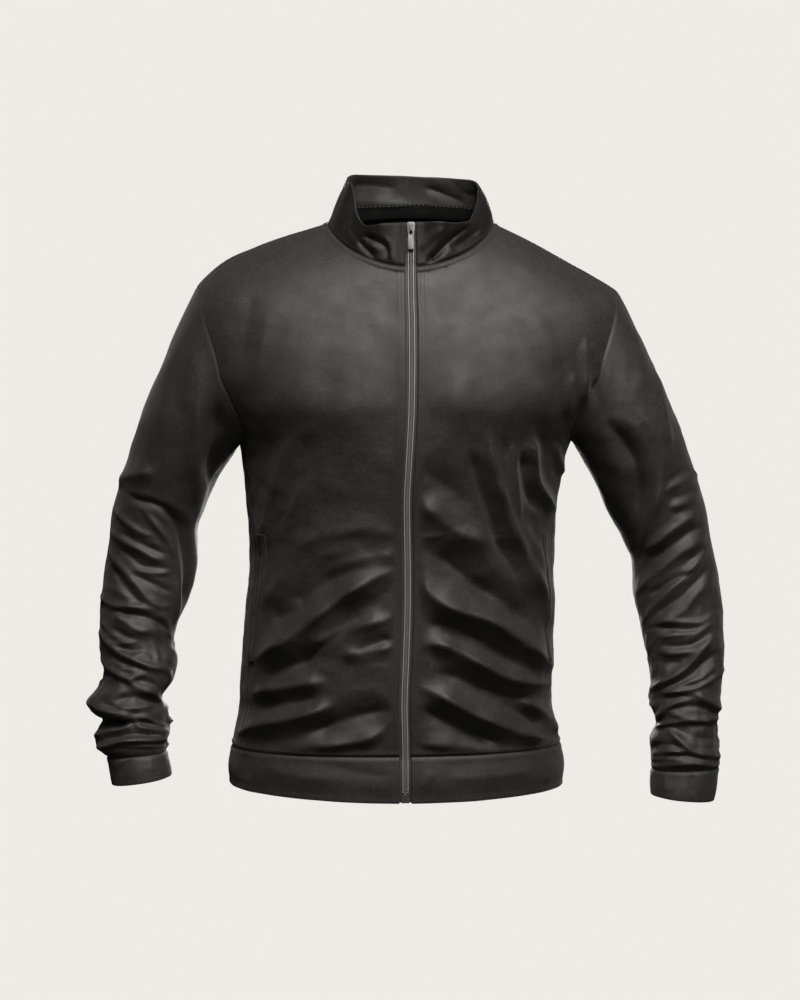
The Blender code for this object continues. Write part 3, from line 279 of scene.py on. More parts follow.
# ---------------------------------------------------------------- folds
# Each row: height, half width on the left of its run, half width on the right (mm; a run to
# the right has "left" above it), then the points it runs through (pixels).
FRONT_FOLDS = (
    # the chest's broad form
    (5.0, 60, 40, ((246, 396), (300, 404), (350, 408), (399, 404))),
    (6.0, 62, 42, ((418, 400), (470, 406), (520, 404), (570, 388))),
    # drag lines under the right arm, and the chest beside the armhole
    (2.6, 11, 10, ((302, 420), (285, 458), (272, 500), (252, 560))),
    (-2.6, 13, 12, ((318, 426), (295, 485), (280, 524), (262, 564))),
    (2.6, 12, 12, ((312, 472), (288, 515), (266, 550))),
    (2.8, 12, 12, ((318, 524), (290, 568), (260, 610))),
    (-1.3, 14, 14, ((252, 290), (247, 330), (240, 368))),
    (1.2, 12, 12, ((266, 306), (262, 345), (250, 384))),
    (2.0, 14, 14, ((272, 385), (262, 420), (250, 460))),
    # the wearer's right side, waist to hem
    (3.2, 16, 15, ((296, 545), (330, 534), (365, 530), (402, 536))),
    (4.0, 14, 12, ((318, 576), (350, 562), (376, 556), (404, 558))),
    (1.6, 14, 13, ((306, 560), (338, 552), (366, 552))),
    (-4.0, 15, 13, ((286, 604), (316, 590), (346, 574), (376, 566))),
    (12.0, 19, 14, ((248, 664), (281, 646), (302, 631), (325, 612), (350, 592), (372, 579),
                    (402, 568))),
    (-4.0, 10, 10, ((290, 672), (318, 648), (345, 630), (378, 606))),
    (-3.4, 12, 12, ((268, 622), (290, 612), (312, 600))),
    (-4.0, 12, 12, ((258, 676), (290, 666), (318, 658))),
    (6.6, 13, 13, ((300, 653), (330, 637), (350, 628), (377, 622), (398, 616))),
    (3.2, 7, 8, ((336, 656), (362, 652), (396, 646))),
    (-2.4, 6, 6, ((352, 654), (376, 644), (396, 636))),
    (5.0, 12, 12, ((246, 694), (288, 687), (330, 681))),
    (-4.4, 9, 10, ((248, 706), (290, 702), (328, 697))),
    (8.0, 14, 12, ((232, 738), (255, 727), (285, 720), (316, 712), (342, 702))),
    (-6.4, 15, 13, ((300, 735), (332, 724), (364, 715), (398, 708))),
    (5.2, 10, 9, ((278, 752), (315, 748), (345, 744), (370, 738), (388, 724))),
    # the wearer's left side, chest to waist
    (-2.6, 17, 15, ((408, 466), (440, 482), (480, 510))),
    (5.6, 15, 17, ((406, 500), (432, 512), (450, 526), (476, 538), (512, 540))),
    (0.9, 4, 5, ((410, 535), (426, 537), (446, 534))),
    (-8.0, 18, 16, ((416, 544), (446, 562), (475, 584), (510, 608), (542, 636))),
    (8.6, 12, 10, ((486, 424), (494, 468), (503, 503), (517, 543), (533, 575), (544, 600),
                   (548, 632))),
    (-6.4, 11, 11, ((470, 446), (482, 490), (500, 545), (520, 584))),
    (4.4, 6, 7, ((512, 440), (516, 485), (520, 522))),
    (6.2, 7, 8, ((530, 426), (535, 474), (543, 494), (558, 514))),
    (-4.4, 7, 7, ((522, 450), (528, 488), (538, 516))),
    (3.6, 12, 10, ((518, 520), (536, 548), (546, 580))),
    (2.6, 5, 5, ((553, 440), (560, 462), (566, 480))),
    # the wearer's left side, waist to hem
    (11.0, 17, 14, ((414, 570), (426, 590), (440, 602), (460, 612), (488, 620), (513, 636),
                    (540, 657), (560, 672))),
    (-4.6, 12, 12, ((420, 620), (456, 630), (490, 648), (532, 672))),
    (8.6, 14, 12, ((414, 650), (436, 644), (458, 652), (488, 668), (514, 680), (556, 684))),
    (-5.0, 11, 12, ((430, 670), (462, 680), (492, 692), (530, 700))),
    (9.0, 14, 13, ((414, 684), (440, 696), (466, 711), (495, 724), (526, 735), (558, 742))),
    (-6.0, 13, 12, ((414, 706), (446, 722), (474, 735), (508, 745))),
    (5.4, 8, 9, ((516, 698), (540, 712), (560, 736))),
    (-3.4, 8, 8, ((500, 704), (524, 714), (544, 728))),
    (4.0, 9, 8, ((414, 742), (450, 748), (500, 752))),
    # pulled cloth beside the left armhole
    (3.0, 5, 6, ((585, 334), (587, 370), (584, 412))),
    (1.8, 5, 5, ((591, 342), (599, 368))),
    (2.2, 6, 6, ((576, 370), (571, 392), (566, 420))),
    (-2.4, 7, 7, ((598, 374), (590, 404), (576, 432))),
    (1.1, 18, 18, ((520, 296), (545, 330), (556, 372))))
BACK_FOLDS = (
    (4.0, 60, 30, ((250, 360), (330, 372), (400, 366), (480, 372), (560, 356))),
    (9.0, 14, 15, ((228, 372), (262, 420), (300, 462), (350, 488))),
    (4.6, 10, 11, ((236, 410), (262, 452), (296, 490))),
    (-4.6, 12, 12, ((262, 392), (296, 436), (340, 462))),
    (9.0, 14, 15, ((580, 366), (548, 412), (510, 454), (462, 476))),
    (4.8, 10, 11, ((568, 404), (545, 446), (516, 484))),
    (-4.6, 12, 12, ((556, 386), (520, 430), (476, 456))),
    (2.4, 20, 22, ((276, 296), (330, 316), (392, 318), (448, 304))),
    (1.8, 18, 20, ((420, 344), (474, 346), (532, 322))),
    (10.0, 16, 15, ((246, 556), (300, 582), (360, 594), (440, 586))),
    (-5.4, 13, 13, ((254, 590), (310, 612), (372, 622))),
    (5.4, 10, 12, ((292, 552), (350, 562), (402, 552))),
    (10.0, 15, 15, ((556, 568), (500, 598), (448, 616), (388, 622))),
    (-5.0, 13, 13, ((548, 604), (500, 628), (450, 646))),
    (9.0, 14, 14, ((240, 640), (300, 652), (362, 656), (424, 666), (510, 674))),
    (4.4, 9, 11, ((424, 640), (480, 634), (546, 616))),
    (-5.0, 12, 12, ((250, 668), (316, 682), (384, 684))),
    (7.0, 13, 13, ((244, 704), (310, 712), (370, 704), (426, 698))),
    (7.2, 13, 13, ((434, 718), (490, 708), (556, 716))),
    (-5.0, 12, 12, ((420, 690), (470, 688), (536, 694))),
    (3.8, 10, 10, ((296, 744), (350, 738), (414, 746))),
    (3.6, 10, 10, ((446, 748), (500, 740), (546, 746))))
# On the sleeves, by the wearer's side (-1 right, 1 left), front and back
SLEEVE_FRONT_FOLDS = {
    -1: (
        # the dark underside's edge, and the hollow behind it
        (3.0, 7, 12, ((207, 318), (201, 360), (198, 410), (197, 460), (197, 524))),
        (-9.0, 12, 11, ((226, 335), (222, 390), (216, 440), (208, 504))),
        (1.8, 9, 10, ((198, 328), (192, 380), (186, 424))),
        (1.6, 10, 10, ((172, 352), (164, 400), (158, 436))),
        # the elbow
        (4.8, 12, 9, ((112, 486), (124, 478), (138, 475), (156, 470))),
        (-4.0, 4, 5, ((122, 490), (136, 499), (152, 503), (166, 511), (176, 524))),
        (-6.6, 8, 6, ((158, 498), (175, 522), (186, 556), (188, 590), (180, 622))),
        (3.4, 4, 4, ((134, 500), (150, 518), (162, 533), (170, 545), (176, 560), (179, 585),
                     (179, 608), (172, 632))),
        (3.2, 4, 4, ((112, 505), (122, 518), (132, 527), (144, 534), (157, 537))),
        (-2.8, 4, 4, ((116, 528), (134, 541), (150, 548), (170, 556))),
        (3.8, 4.5, 5, ((108, 528), (122, 540), (138, 548), (152, 557), (168, 563))),
        (-3.2, 5, 4, ((114, 546), (130, 556), (144, 566), (172, 569))),
        (3.8, 5, 5, ((106, 543), (115, 560), (127, 574), (139, 588), (149, 600), (162, 607),
                     (178, 604))),
        (1.6, 3, 3, ((128, 569), (140, 571), (158, 573), (174, 573))),
        (-2.8, 3.5, 4, ((128, 574), (146, 580), (162, 588), (174, 594))),
        (-3.6, 4.5, 4.5, ((108, 562), (122, 582), (134, 596), (145, 607))),
        # the forearm
        (3.8, 4, 4, ((96, 588), (105, 600), (116, 606), (130, 607), (146, 609), (160, 614))),
        (1.8, 4, 4, ((106, 586), (118, 591), (128, 600))),
        (-4.4, 4, 4.5, ((110, 610), (126, 613), (142, 616), (158, 622), (172, 634))),
        (3.6, 5, 5, ((112, 612), (124, 622), (137, 630), (154, 632))),
        (2.4, 3, 3, ((159, 606), (165, 618), (168, 630), (171, 642))),
        (-2.8, 4, 4, ((110, 626), (124, 636), (138, 642))),
        (2.0, 3, 3, ((100, 618), (109, 632), (118, 638), (132, 639))),
        (2.8, 3, 3, ((110, 644), (124, 643), (138, 641))),
        (-3.0, 3.5, 3.5, ((114, 646), (128, 650), (146, 650))),
        (2.2, 4, 4, ((130, 657), (142, 655), (154, 659))),
        (2.0, 3, 3, ((149, 638), (156, 650), (160, 664))),
        (5.0, 4, 4.5, ((94, 624), (105, 638), (114, 648), (126, 656), (140, 663), (152, 667),
                       (164, 668), (170, 675), (171, 688))),
        (-3.0, 3.5, 3.5, ((106, 652), (120, 662), (136, 667), (152, 672))),
        (4.0, 4, 4, ((97, 650), (108, 666), (120, 675), (131, 678), (148, 673))),
        (1.8, 2.5, 2.5, ((110, 658), (122, 667), (134, 670), (148, 671))),
        (4.6, 4, 5, ((122, 674), (134, 684), (144, 690), (152, 691), (158, 698), (164, 708))),
        (-3.0, 4, 4, ((130, 681), (146, 681), (160, 691))),
        (-3.4, 4, 4, ((113, 700), (130, 697), (146, 698), (158, 703))),
        (2.8, 6, 6, ((98, 697), (114, 694), (130, 689))),
        (3.4, 4.5, 4.5, ((113, 706), (130, 708), (144, 707), (158, 702))),
        (-3.0, 3, 3, ((100, 702), (116, 709), (130, 713), (144, 714))),
        # the rolls above the cuff
        (7.0, 6, 6, ((80, 695), (94, 704), (106, 710), (122, 713), (138, 719))),
        (2.8, 3, 3, ((134, 718), (146, 717), (156, 723), (170, 727))),
        (3.8, 3.5, 4, ((133, 717), (140, 727), (150, 729), (172, 731))),
        (4.0, 4, 4, ((136, 718), (126, 728), (112, 731), (90, 737))),
        (-4.0, 5, 5, ((98, 720), (114, 724), (128, 722))),
        (-4.2, 4, 4, ((100, 740), (122, 735), (142, 734), (166, 735))),
        (5.0, 4, 3.5, ((90, 749), (106, 746), (122, 741), (144, 740), (170, 739))),
        (2.2, 3, 2.5, ((120, 747), (142, 746), (170, 746)))),
    1: (
        (4.2, 10, 6, ((630, 408), (646, 420), (658, 440), (663, 460), (661, 482),
                      (656, 502), (647, 524), (636, 556))),
        (-10.0, 12, 12, ((602, 418), (622, 440), (636, 468), (638, 496), (630, 528))),
        (3.4, 6, 8, ((652, 360), (662, 404), (673, 456))),
        (1.8, 9, 10, ((632, 320), (640, 360), (645, 396))),
        (-2.6, 9, 9, ((612, 330), (614, 370), (606, 408))),
        (1.8, 9, 9, ((676, 396), (684, 436))),
        # the elbow
        (2.8, 4, 4, ((662, 493), (676, 485), (690, 478), (704, 468))),
        (-2.0, 4, 4, ((662, 484), (680, 474), (694, 465))),
        (-2.2, 4, 4, ((664, 501), (680, 496), (698, 488))),
        (2.0, 4, 4, ((666, 509), (682, 504), (702, 496))),
        (-1.6, 4, 4, ((670, 515), (692, 509))),
        (4.6, 6, 5, ((640, 554), (656, 543), (668, 533), (682, 523), (702, 510))),
        (-4.2, 5, 5, ((645, 562), (662, 552), (676, 543), (690, 532), (710, 523))),
        (4.4, 7, 6, ((632, 597), (650, 580), (664, 567), (680, 554), (694, 545), (710, 532))),
        (-1.8, 3, 3, ((686, 561), (696, 556), (705, 545))),
        (-3.8, 4, 4, ((645, 598), (662, 587), (676, 579), (696, 572))),
        (4.4, 4.5, 4.5, ((638, 628), (654, 608), (668, 592), (682, 579), (694, 566), (712, 545))),
        (-3.6, 4.5, 4.5, ((648, 621), (668, 606), (684, 594), (698, 580), (714, 562))),
        (3.0, 6, 5, ((652, 625), (672, 618), (686, 609), (696, 596), (718, 574))),
        # the forearm
        (2.6, 3.5, 3, ((656, 623), (682, 622), (702, 622), (720, 609))),
        (-3.8, 4, 4, ((646, 628), (668, 628), (690, 630), (708, 627))),
        (2.8, 3.5, 3.5, ((652, 638), (670, 636), (688, 633), (702, 629), (720, 617))),
        (-3.4, 4, 4, ((656, 645), (680, 646), (698, 642), (716, 629))),
        (2.8, 4, 4, ((656, 652), (678, 653), (698, 650))),
        (-2.2, 5, 5, ((656, 662), (684, 663))),
        (1.6, 4, 4, ((659, 676), (669, 667))),
        (6.2, 5.5, 5, ((644, 694), (660, 684), (673, 678), (686, 668), (696, 656), (706, 643),
                       (720, 627))),
        (-4.4, 4.5, 4.5, ((656, 689), (678, 681), (694, 672), (706, 661), (724, 648))),
        (2.4, 3, 3, ((666, 690), (686, 684), (702, 678), (712, 669), (728, 656))),
        (-2.4, 2.5, 2.5, ((664, 690), (684, 687), (700, 683), (712, 675), (726, 664))),
        (3.8, 3.5, 4, ((655, 693), (678, 691), (694, 688), (706, 682), (716, 674), (730, 661))),
        (-3.0, 4, 4, ((652, 699), (674, 697), (694, 697))),
        (3.4, 6, 5, ((690, 692), (706, 699), (718, 707), (730, 714))),
        (3.2, 3.5, 3.5, ((654, 724), (662, 712), (672, 705), (692, 697))),
        (-3.6, 4, 4, ((664, 712), (684, 707), (700, 707), (720, 713))),
        (2.6, 4, 3, ((667, 711), (684, 717), (704, 718))),
        # the rolls above the cuff
        (4.4, 3.5, 3.5, ((648, 731), (664, 724), (680, 721), (704, 720), (730, 715))),
        (-3.4, 6, 5, ((672, 727), (692, 736), (718, 740))),
        (4.0, 4, 4, ((660, 725), (674, 735), (684, 745), (698, 753), (730, 757))),
        (-3.4, 5, 4, ((648, 749), (666, 744), (686, 749))),
        (3.0, 3.5, 3, ((648, 755), (668, 752), (690, 752))),
        (2.8, 3, 3, ((644, 760), (668, 758), (688, 760))),
        (-2.8, 3, 3, ((658, 757), (684, 756), (712, 761))),
        (3.2, 5, 4, ((644, 767), (672, 765), (700, 764), (728, 769))))}
# Behind, the folds are like those in front, turned over the sleeve's middle line
SLEEVE_MIDDLE = {-1: ((180, 300), (158, 470), (137, 620), (134, 780)),
                 1: ((640, 300), (660, 470), (682, 620), (688, 790))}
BEHIND_LOWER = {-1: 11, 1: -13}   # and moved down by these pixels
COLLAR_FOLDS = (
    (-3.4, 4, 4, ((362, 236), (374, 240), (386, 247), (388, 260))),
    (0.9, 3, 3, ((368, 245), (377, 250), (380, 262))),
    (-3.0, 4, 4, ((358, 240), (368, 251), (376, 262))),
    (1.4, 3, 4, ((344, 222), (352, 238), (364, 250))),
    (-1.8, 5, 5, ((340, 198), (345, 214), (352, 226))),
    (1.6, 4, 4, ((386, 236), (390, 250), (393, 264))),
    (-5.0, 4.5, 4.5, ((422, 270), (438, 253), (452, 238), (470, 224))),
    (1.6, 5, 5, ((416, 252), (430, 238), (446, 230))),
    (-4.2, 7, 7, ((446, 250), (464, 240), (482, 228))),
    (1.0, 4, 5, ((474, 240), (483, 224), (486, 208))))
COLLAR_BACK_FOLDS = (
    (2.2, 4, 5, ((420, 187), (442, 195), (466, 205))),
    (-1.4, 5, 6, ((426, 180), (450, 187), (474, 193))),
    (1.4, 4, 5, ((448, 184), (462, 192), (474, 200))),
    (3.0, 9, 8, ((346, 188), (370, 186), (400, 190))),
    (-2.0, 6, 6, ((350, 202), (380, 204), (412, 205))))
BAND_FOLDS = (
    (1.6, 9, 9, ((262, 766), (300, 776), (350, 780))),
    (-1.4, 8, 8, ((330, 766), (370, 774), (398, 776))),
    (1.5, 9, 9, ((440, 778), (490, 776), (540, 768))),
    (1.2, 7, 7, ((420, 790), (432, 770))),
    (1.2, 7, 7, ((552, 756), (540, 784))),
    (-1.2, 7, 8, ((244, 748), (252, 780))))
CUFF_FOLDS = (
    (-1.6, 4, 4, ((138, 748), (128, 762), (116, 778))),
    (1.3, 5, 5, ((128, 748), (120, 760), (112, 770))),
    (1.0, 6, 6, ((152, 752), (150, 774))),
    (1.2, 6, 6, ((664, 770), (666, 794))),
    (-1.2, 5, 5, ((690, 770), (694, 796))))


# ---------------------------------------------------------------- the garment's shape

def smooth(low, high, value):
    """0 before low, 1 after high, an even curve between."""
    u = np.clip((value - low) / (high - low), 0.0, 1.0)
    return u * u * (3 - 2 * u)


def unit(vectors):
    return vectors / np.maximum(np.linalg.norm(vectors, axis=-1, keepdims=True), 1e-12)


def ring_point(middle, half_width, front, back, turn, angle):
    """Points of level rings round the body, angle 0 at the middle of the front."""
    s, c = np.sin(angle), np.cos(angle)
    full = 1 + SQUARENESS * (2 * s * c) ** 2
    x = half_width * s * full
    y = -np.where(c > 0, front, back) * c * full
    return np.stack((middle + x * np.cos(turn) - y * np.sin(turn),
                     x * np.sin(turn) + y * np.cos(turn), np.zeros_like(x)), axis=-1)


def body_base(angle, station):
    """The body without its folds."""
    angle, station = np.broadcast_arrays(angle, station)
    row = {name: BODY.at(name, station) for name in BODY.column}
    point = ring_point(row["middle"], row["half_width"], row["front"], row["back"],
                       np.radians(row["turn"]), angle)
    side = ((row["z_right"] + row["z_left"]) / 2
            + (row["z_left"] - row["z_right"]) / 2 * np.sin(angle))
    end = np.where(np.cos(angle) > 0, row["z_front"], row["z_back"])
    point[..., 2] = side + (end - side) * np.abs(np.cos(angle)) ** RIM_CURVE
    return point


def body_normal(angle, station, step=0.004):
    low, high = np.clip(station - step, 0, 1), np.clip(station + step, 0, 1)
    across = body_base(angle + step, station) - body_base(angle - step, station)
    up = body_base(angle, high) - body_base(angle, low)
    return unit(np.cross(across, up))


def seen(points):
    """Where points lie in the photograph's frame, in pixels."""
    tilt = math.radians(VIEW["elevation"])
    off = points - np.array(VIEW["target"])
    depth = VIEW["distance"] + off[..., 1] * math.cos(tilt) - off[..., 2] * math.sin(tilt)
    up = off[..., 2] * math.cos(tilt) + off[..., 1] * math.sin(tilt)
    scale = VIEW["distance"] / depth / PIXEL
    return np.stack((VIEW["centre"][0] + off[..., 0] * scale,
                     VIEW["centre"][1] - up * scale), axis=-1)


def smooth_line(points, pieces=5):
    """A Catmull-Rom line through the points."""
    p = np.array(points, dtype=float)
    p = np.vstack((2 * p[0] - p[1], p, 2 * p[-1] - p[-2]))
    u = (np.arange(pieces) / pieces)[:, None]
    spans = [0.5 * (2 * b + (c - a) * u + (2 * a - 5 * b + 4 * c - d) * u ** 2
                    + (3 * b - a - 3 * c + d) * u ** 3)
             for a, b, c, d in zip(p[:-3], p[1:-2], p[2:-1], p[3:])]
    return np.vstack(spans + [p[-2:-1]])


def nearest(line, places):
    """From flat places to a line: how far off, on which side, how far along, and its length."""
    best = np.full(len(places), np.inf)
    turned, along = np.zeros(len(places)), np.zeros(len(places))
    start = 0.0
    for a, b in zip(line[:-1], line[1:]):
        run = b - a
        length = math.hypot(*run)
        share = np.clip((places - a) @ run / length ** 2, 0, 1)
        off = places - a - share[:, None] * run
        far = np.hypot(off[:, 0], off[:, 1])
        closer = far < best
        best = np.where(closer, far, best)
        turned = np.where(closer, run[0] * off[:, 1] - run[1] * off[:, 0], turned)
        along = np.where(closer, start + share * length, along)
        start += length
    return best, turned, along, start


def fold_height(points, folds):
    """How far the cloth stands out at some places, in metres."""
    spots = seen(points.reshape(-1, 3)) * PIXEL * 1000
    total = np.zeros(len(spots))
    for number, (height, left, right, path) in enumerate(folds):
        line = smooth_line(path) * PIXEL * 1000
        reach = FOLD_REACH * max(left, right)
        near = ((spots > line.min(0) - reach) & (spots < line.max(0) + reach)).all(1)
        if not near.any():
            continue
        far, turned, along, length = nearest(line, spots[near])
        share = along / length
        fade = smooth(0, FOLD_FADE, share) * smooth(0, FOLD_FADE, 1 - share)
        t = far / (np.where(turned < 0, left, right) * (FOLD_TAPER + (1 - FOLD_TAPER) * fade))
        form = ((1 - FOLD_CREST) * np.exp(-t * t)
                + FOLD_CREST * np.exp(-(CREST_SHARPNESS * t) ** 2)
                - FOLD_DITCH * np.exp(-((t - DITCH_AT) / DITCH_WIDTH) ** 2))
        uneven = 1 + FOLD_UNEVEN * np.sin(along / UNEVEN_RUN + UNEVEN_SHIFT * number)
        total[near] += height * 0.001 * form * fade * uneven
    return total.reshape(points.shape[:-1])


def turned_folds(points, facing, front, rear):
    """Folds of a front (facing 1) that pass into those behind (facing 0)."""
    return facing * fold_height(points, front) + (1 - facing) * fold_height(points, rear)


def waver(points, name, other=0):
    """Slow unevenness: a few waves that run in all directions; other changes their draws."""
    height, length, seed = WAVES[name]
    draw = np.random.default_rng(seed + other)
    ways = unit(draw.normal(size=(WAVE_COUNT, 3)))
    often = 2 * math.pi / (length * draw.uniform(*WAVE_SPREAD, WAVE_COUNT))
    phase = draw.uniform(0, 2 * math.pi, WAVE_COUNT)
    waves = np.sin(points @ (ways * often[:, None]).T + phase)
    return height * waves.sum(axis=-1) / math.sqrt(WAVE_COUNT / 2)


def zip_calm(angle, station):
    """0 beside the zip, where no fold grows, and 1 away from it and behind."""
    from_zip = np.abs(np.sin(angle)) * BODY.at("half_width", station)
    return np.where(np.cos(angle) > 0, smooth(*ZIP_STIFF, from_zip), 1.0)


def edge_calm(reach, distance):
    """Folds grow from a small share at a sewn edge to their full height."""
    return EDGE_CALM + (1 - EDGE_CALM) * smooth(*reach, distance)


def body_height(angle, station, base):
    facing = smooth(*BODY_FACING, np.cos(angle))
    low = 1 - smooth(*ROUGHER_BELOW, station)
    height = (TORSO_DEPTH * turned_folds(base, facing, FRONT_FOLDS, BACK_FOLDS)
              + waver(base, "body_slow") + (1 + low) / 2 * waver(base, "body")
              + low * waver(base, "body_fine"))
    return (height * zip_calm(angle, station) * edge_calm(HEM_CALM, station)
            * smooth(*NECK_CALM, 1 - station))


def body_point(angle, station):
    """The body's outer face, with its folds."""
    angle, station = np.broadcast_arrays(angle, station)
    base = body_base(angle, station)
    return base + body_normal(angle, station) * body_height(angle, station, base)[..., None]


def seam_angle(station):
    return np.radians(SIDE_SEAM.at("angle", station))


def side_edges(station):
    """The angles of the front's and the back's side edges, which part at the armhole."""
    seam = seam_angle(station)
    u = (station - PIT) / (TIP - PIT) * 2 - 1
    half = np.sqrt(np.maximum(0.0, 1 - u * u))
    return seam - ARMHOLE_FRONT * half, seam + ARMHOLE_BACK * half


def zip_edge(station):
    return np.arcsin(0.5 * ZIP_OPENING / BODY.at("half_width", station))


def near_ends(count):
    """Shares from 0 to 1, closer together at both ends."""
    inside = np.linspace(2 * NEAR_SEAM[-1], 1 - 2 * NEAR_SEAM[-1], count)
    return np.concatenate((NEAR_SEAM, inside, 1 - np.array(NEAR_SEAM)[::-1]))


def near_start(first, count):
    """Shares from 0 to 1: the first ones as given, then even steps."""
    return np.append(first[:-1], np.linspace(first[-1], 1, count - 2))


def body_stations():
    """Stations from the hem to the neck, closer at the ends and at the armhole's own ends."""
    lower = np.append(HEM_STATIONS[:-1],
                      np.linspace(HEM_STATIONS[-1], PIT, LOWER_ROWS, endpoint=False))
    u = np.linspace(0, 1, ARMHOLE_ROWS + 1)
    armhole = PIT + (TIP - PIT) * (ARMHOLE_EVEN * u
                                   + (1 - ARMHOLE_EVEN) / 2 * (1 - np.cos(math.pi * u)))
    shoulder = np.append(np.linspace(TIP, NECK_STATIONS[0], SHOULDER_ROWS)[1:],
                         NECK_STATIONS[1:])
    return np.concatenate((lower, armhole, shoulder)), len(lower)


STATIONS, FIRST_ARMHOLE_ROW = body_stations()
ARMHOLE = slice(FIRST_ARMHOLE_ROW, FIRST_ARMHOLE_ROW + ARMHOLE_ROWS + 1)


def column_angles(station, part):
    """The angles of a panel's rows, always running towards the wearer's left."""
    inner, (side, rear) = zip_edge(station), side_edges(station)
    start, end, count = {
        "front_left": (inner, side, FRONT_COLUMNS),
        "back": (rear, 2 * math.pi - rear, BACK_COLUMNS),
        "front_right": (2 * math.pi - side, 2 * math.pi - inner, FRONT_COLUMNS)}[part]
    return start[:, None] + (end - start)[:, None] * near_ends(count)


def all_round(rows):
    """The panels' rows as one, where each starts at the last point of the one before."""
    left, back, right = (rows[part] for part in ("front_left", "back", "front_right"))
    return np.concatenate((left, back[1:], right[1:]))


def round_angles(station):
    return all_round({part: column_angles(np.array([station]), part)[0] for part in PANELS})


def collar_top(angle):
    """The collar's top edge: high behind, and sagging down to the zip in front."""
    top, side, facing = COLLAR_TOP, np.sin(angle), np.cos(angle)
    point = ring_point(top["middle"], top["half_width"], top["front"], top["back"], 0.0, angle)
    rear = (top["z_side"] + (top["z_back"] - top["z_side"]) * np.maximum(0, -facing)
            - top["rise_right"] * side
            - top["corner_drop"] * (1 - smooth(*top["corner"], -facing)))
    low = np.where(side < 0, smooth(*top["climb_right"], facing),
                   smooth(*top["climb_left"], facing))
    sag = (np.where(side < 0, top["sag_right"], top["sag_left"])
           * np.exp(-((np.abs(side) - top["sag_at"]) / top["sag_width"]) ** 2))
    point[..., 2] = rear + (top["z_front"] - sag * (facing > 0) - rear) * low
    return point


def collar_point(angle, rise):
    """The collar from its seam (rise 0) to its top edge (rise 1)."""
    angle, rise = np.broadcast_arrays(angle, rise)
    side, facing = np.sin(angle), np.cos(angle)
    seam, top = body_point(angle, np.ones_like(angle)), collar_top(angle)
    point = seam + (top - seam) * rise[..., None]
    from_zip = np.abs(point[..., 0] - COLLAR_TOP["middle"])
    calm = np.where(facing > 0, smooth(*COLLAR_STIFF, from_zip), 1)
    folds = (turned_folds(point, smooth(*COLLAR_FACING, facing), COLLAR_FOLDS,
                          COLLAR_BACK_FOLDS) + waver(point, "collar"))
    bulge = (COLLAR_BULGE["back"] * (1 - smooth(*COLLAR_BULGE["fades"], facing))
             + COLLAR_BULGE["left"] * np.maximum(0, side) ** 6) * 4 * rise * (1 - rise)
    high, lean = np.maximum(rise, 0), COLLAR_LEAN
    lean_out = (lean["front"] * smooth(*lean["from_zip"], from_zip) * high ** lean["curl"]
                * smooth(*lean["front_facing"], facing)
                + lean["back"] * high * smooth(*lean["back_facing"], -facing)
                + lean["left"] * high * side)
    out = unit(np.stack((side, -facing, np.full_like(angle, lean["upward"])), axis=-1))
    return point + out * (bulge + lean_out
                          + folds * calm * smooth(*COLLAR_CALM, rise))[..., None]


def band_point(angle, drop):
    """The hem band from its seam (drop 0) to its lower edge (drop 1)."""
    angle, drop = np.broadcast_arrays(angle, drop)
    point = body_point(angle, np.zeros_like(angle))
    waves, soon = BAND_ROUND
    swell = (BAND_SWELL * np.sin(waves * math.pi * np.minimum(1.0, soon * drop))
             + BAND_FLARE * drop)
    edge = HEM_Z - HEM_DIP * np.maximum(0.0, np.cos(angle)) ** 3 - HEM_TILT * np.sin(angle)
    point[..., 2] = HEM_SEAM_Z + (edge - HEM_SEAM_Z) * drop
    folds = (fold_height(point, BAND_FOLDS) + waver(point, "hem_band")) * zip_calm(angle, 0.0)
    out = np.stack((np.sin(angle), -np.cos(angle), np.zeros_like(angle)), axis=-1)
    return point + out * (swell + folds * smooth(*BAND_CALM, drop))[..., None]


def sleeve_base(side, turn, station):
    """Points of a sleeve's rings; turn is 0 at the outer side and 90 degrees in front."""
    turn, station = np.broadcast_arrays(turn, station)
    at = {name: SLEEVES[side].at(name, station) for name in SLEEVE_COLUMNS[1:]}
    full = 1 + SLEEVE_SQUARENESS * np.sin(2 * turn) ** 2
    c, s = np.cos(turn) * full, np.sin(turn) * full
    x, z = ((at["outer_" + axis] + at["inner_" + axis]) / 2
            + (at["outer_" + axis] - at["inner_" + axis]) / 2 * c for axis in "xz")
    return np.stack((x, at["middle_y"] - at["half_depth"] * s, z), axis=-1)


def way_out(grid, tube):
    """Outward directions of a grid of points, from its neighbours."""
    if tube:
        around = np.roll(grid, -1, axis=1) - np.roll(grid, 1, axis=1)
        middle = grid.mean(axis=1, keepdims=True)
    else:
        around = np.gradient(grid, axis=1)
        middle = grid * (0, 0, 1)
    normal = unit(np.cross(around, np.gradient(grid, axis=0)))
    return normal * np.sign((normal * (grid - middle)).sum())


def behind(side, folds):
    """A sleeve's folds turned over its middle line; a run keeps its upper side."""
    x, y = np.array(SLEEVE_MIDDLE[side]).T
    return [(height, left, right,
             [(2 * np.interp(py, y, x) - px, py + BEHIND_LOWER[side]) for px, py in path[::-1]])
            for height, left, right, path in folds]


def soften(height):
    """Evens a tube's heights with their neighbours, so that crests don't look cut."""
    rows = np.pad(height, ((1, 1), (0, 0)), mode="edge")
    height = (rows[:-2] + 2 * height + rows[2:]) / 4
    return (np.roll(height, 1, axis=1) + 2 * height + np.roll(height, -1, axis=1)) / 4


def run_along(line):
    """Distance along a line of points from its first."""
    return np.append(0.0, np.cumsum(np.linalg.norm(np.diff(line, axis=0), axis=1)))


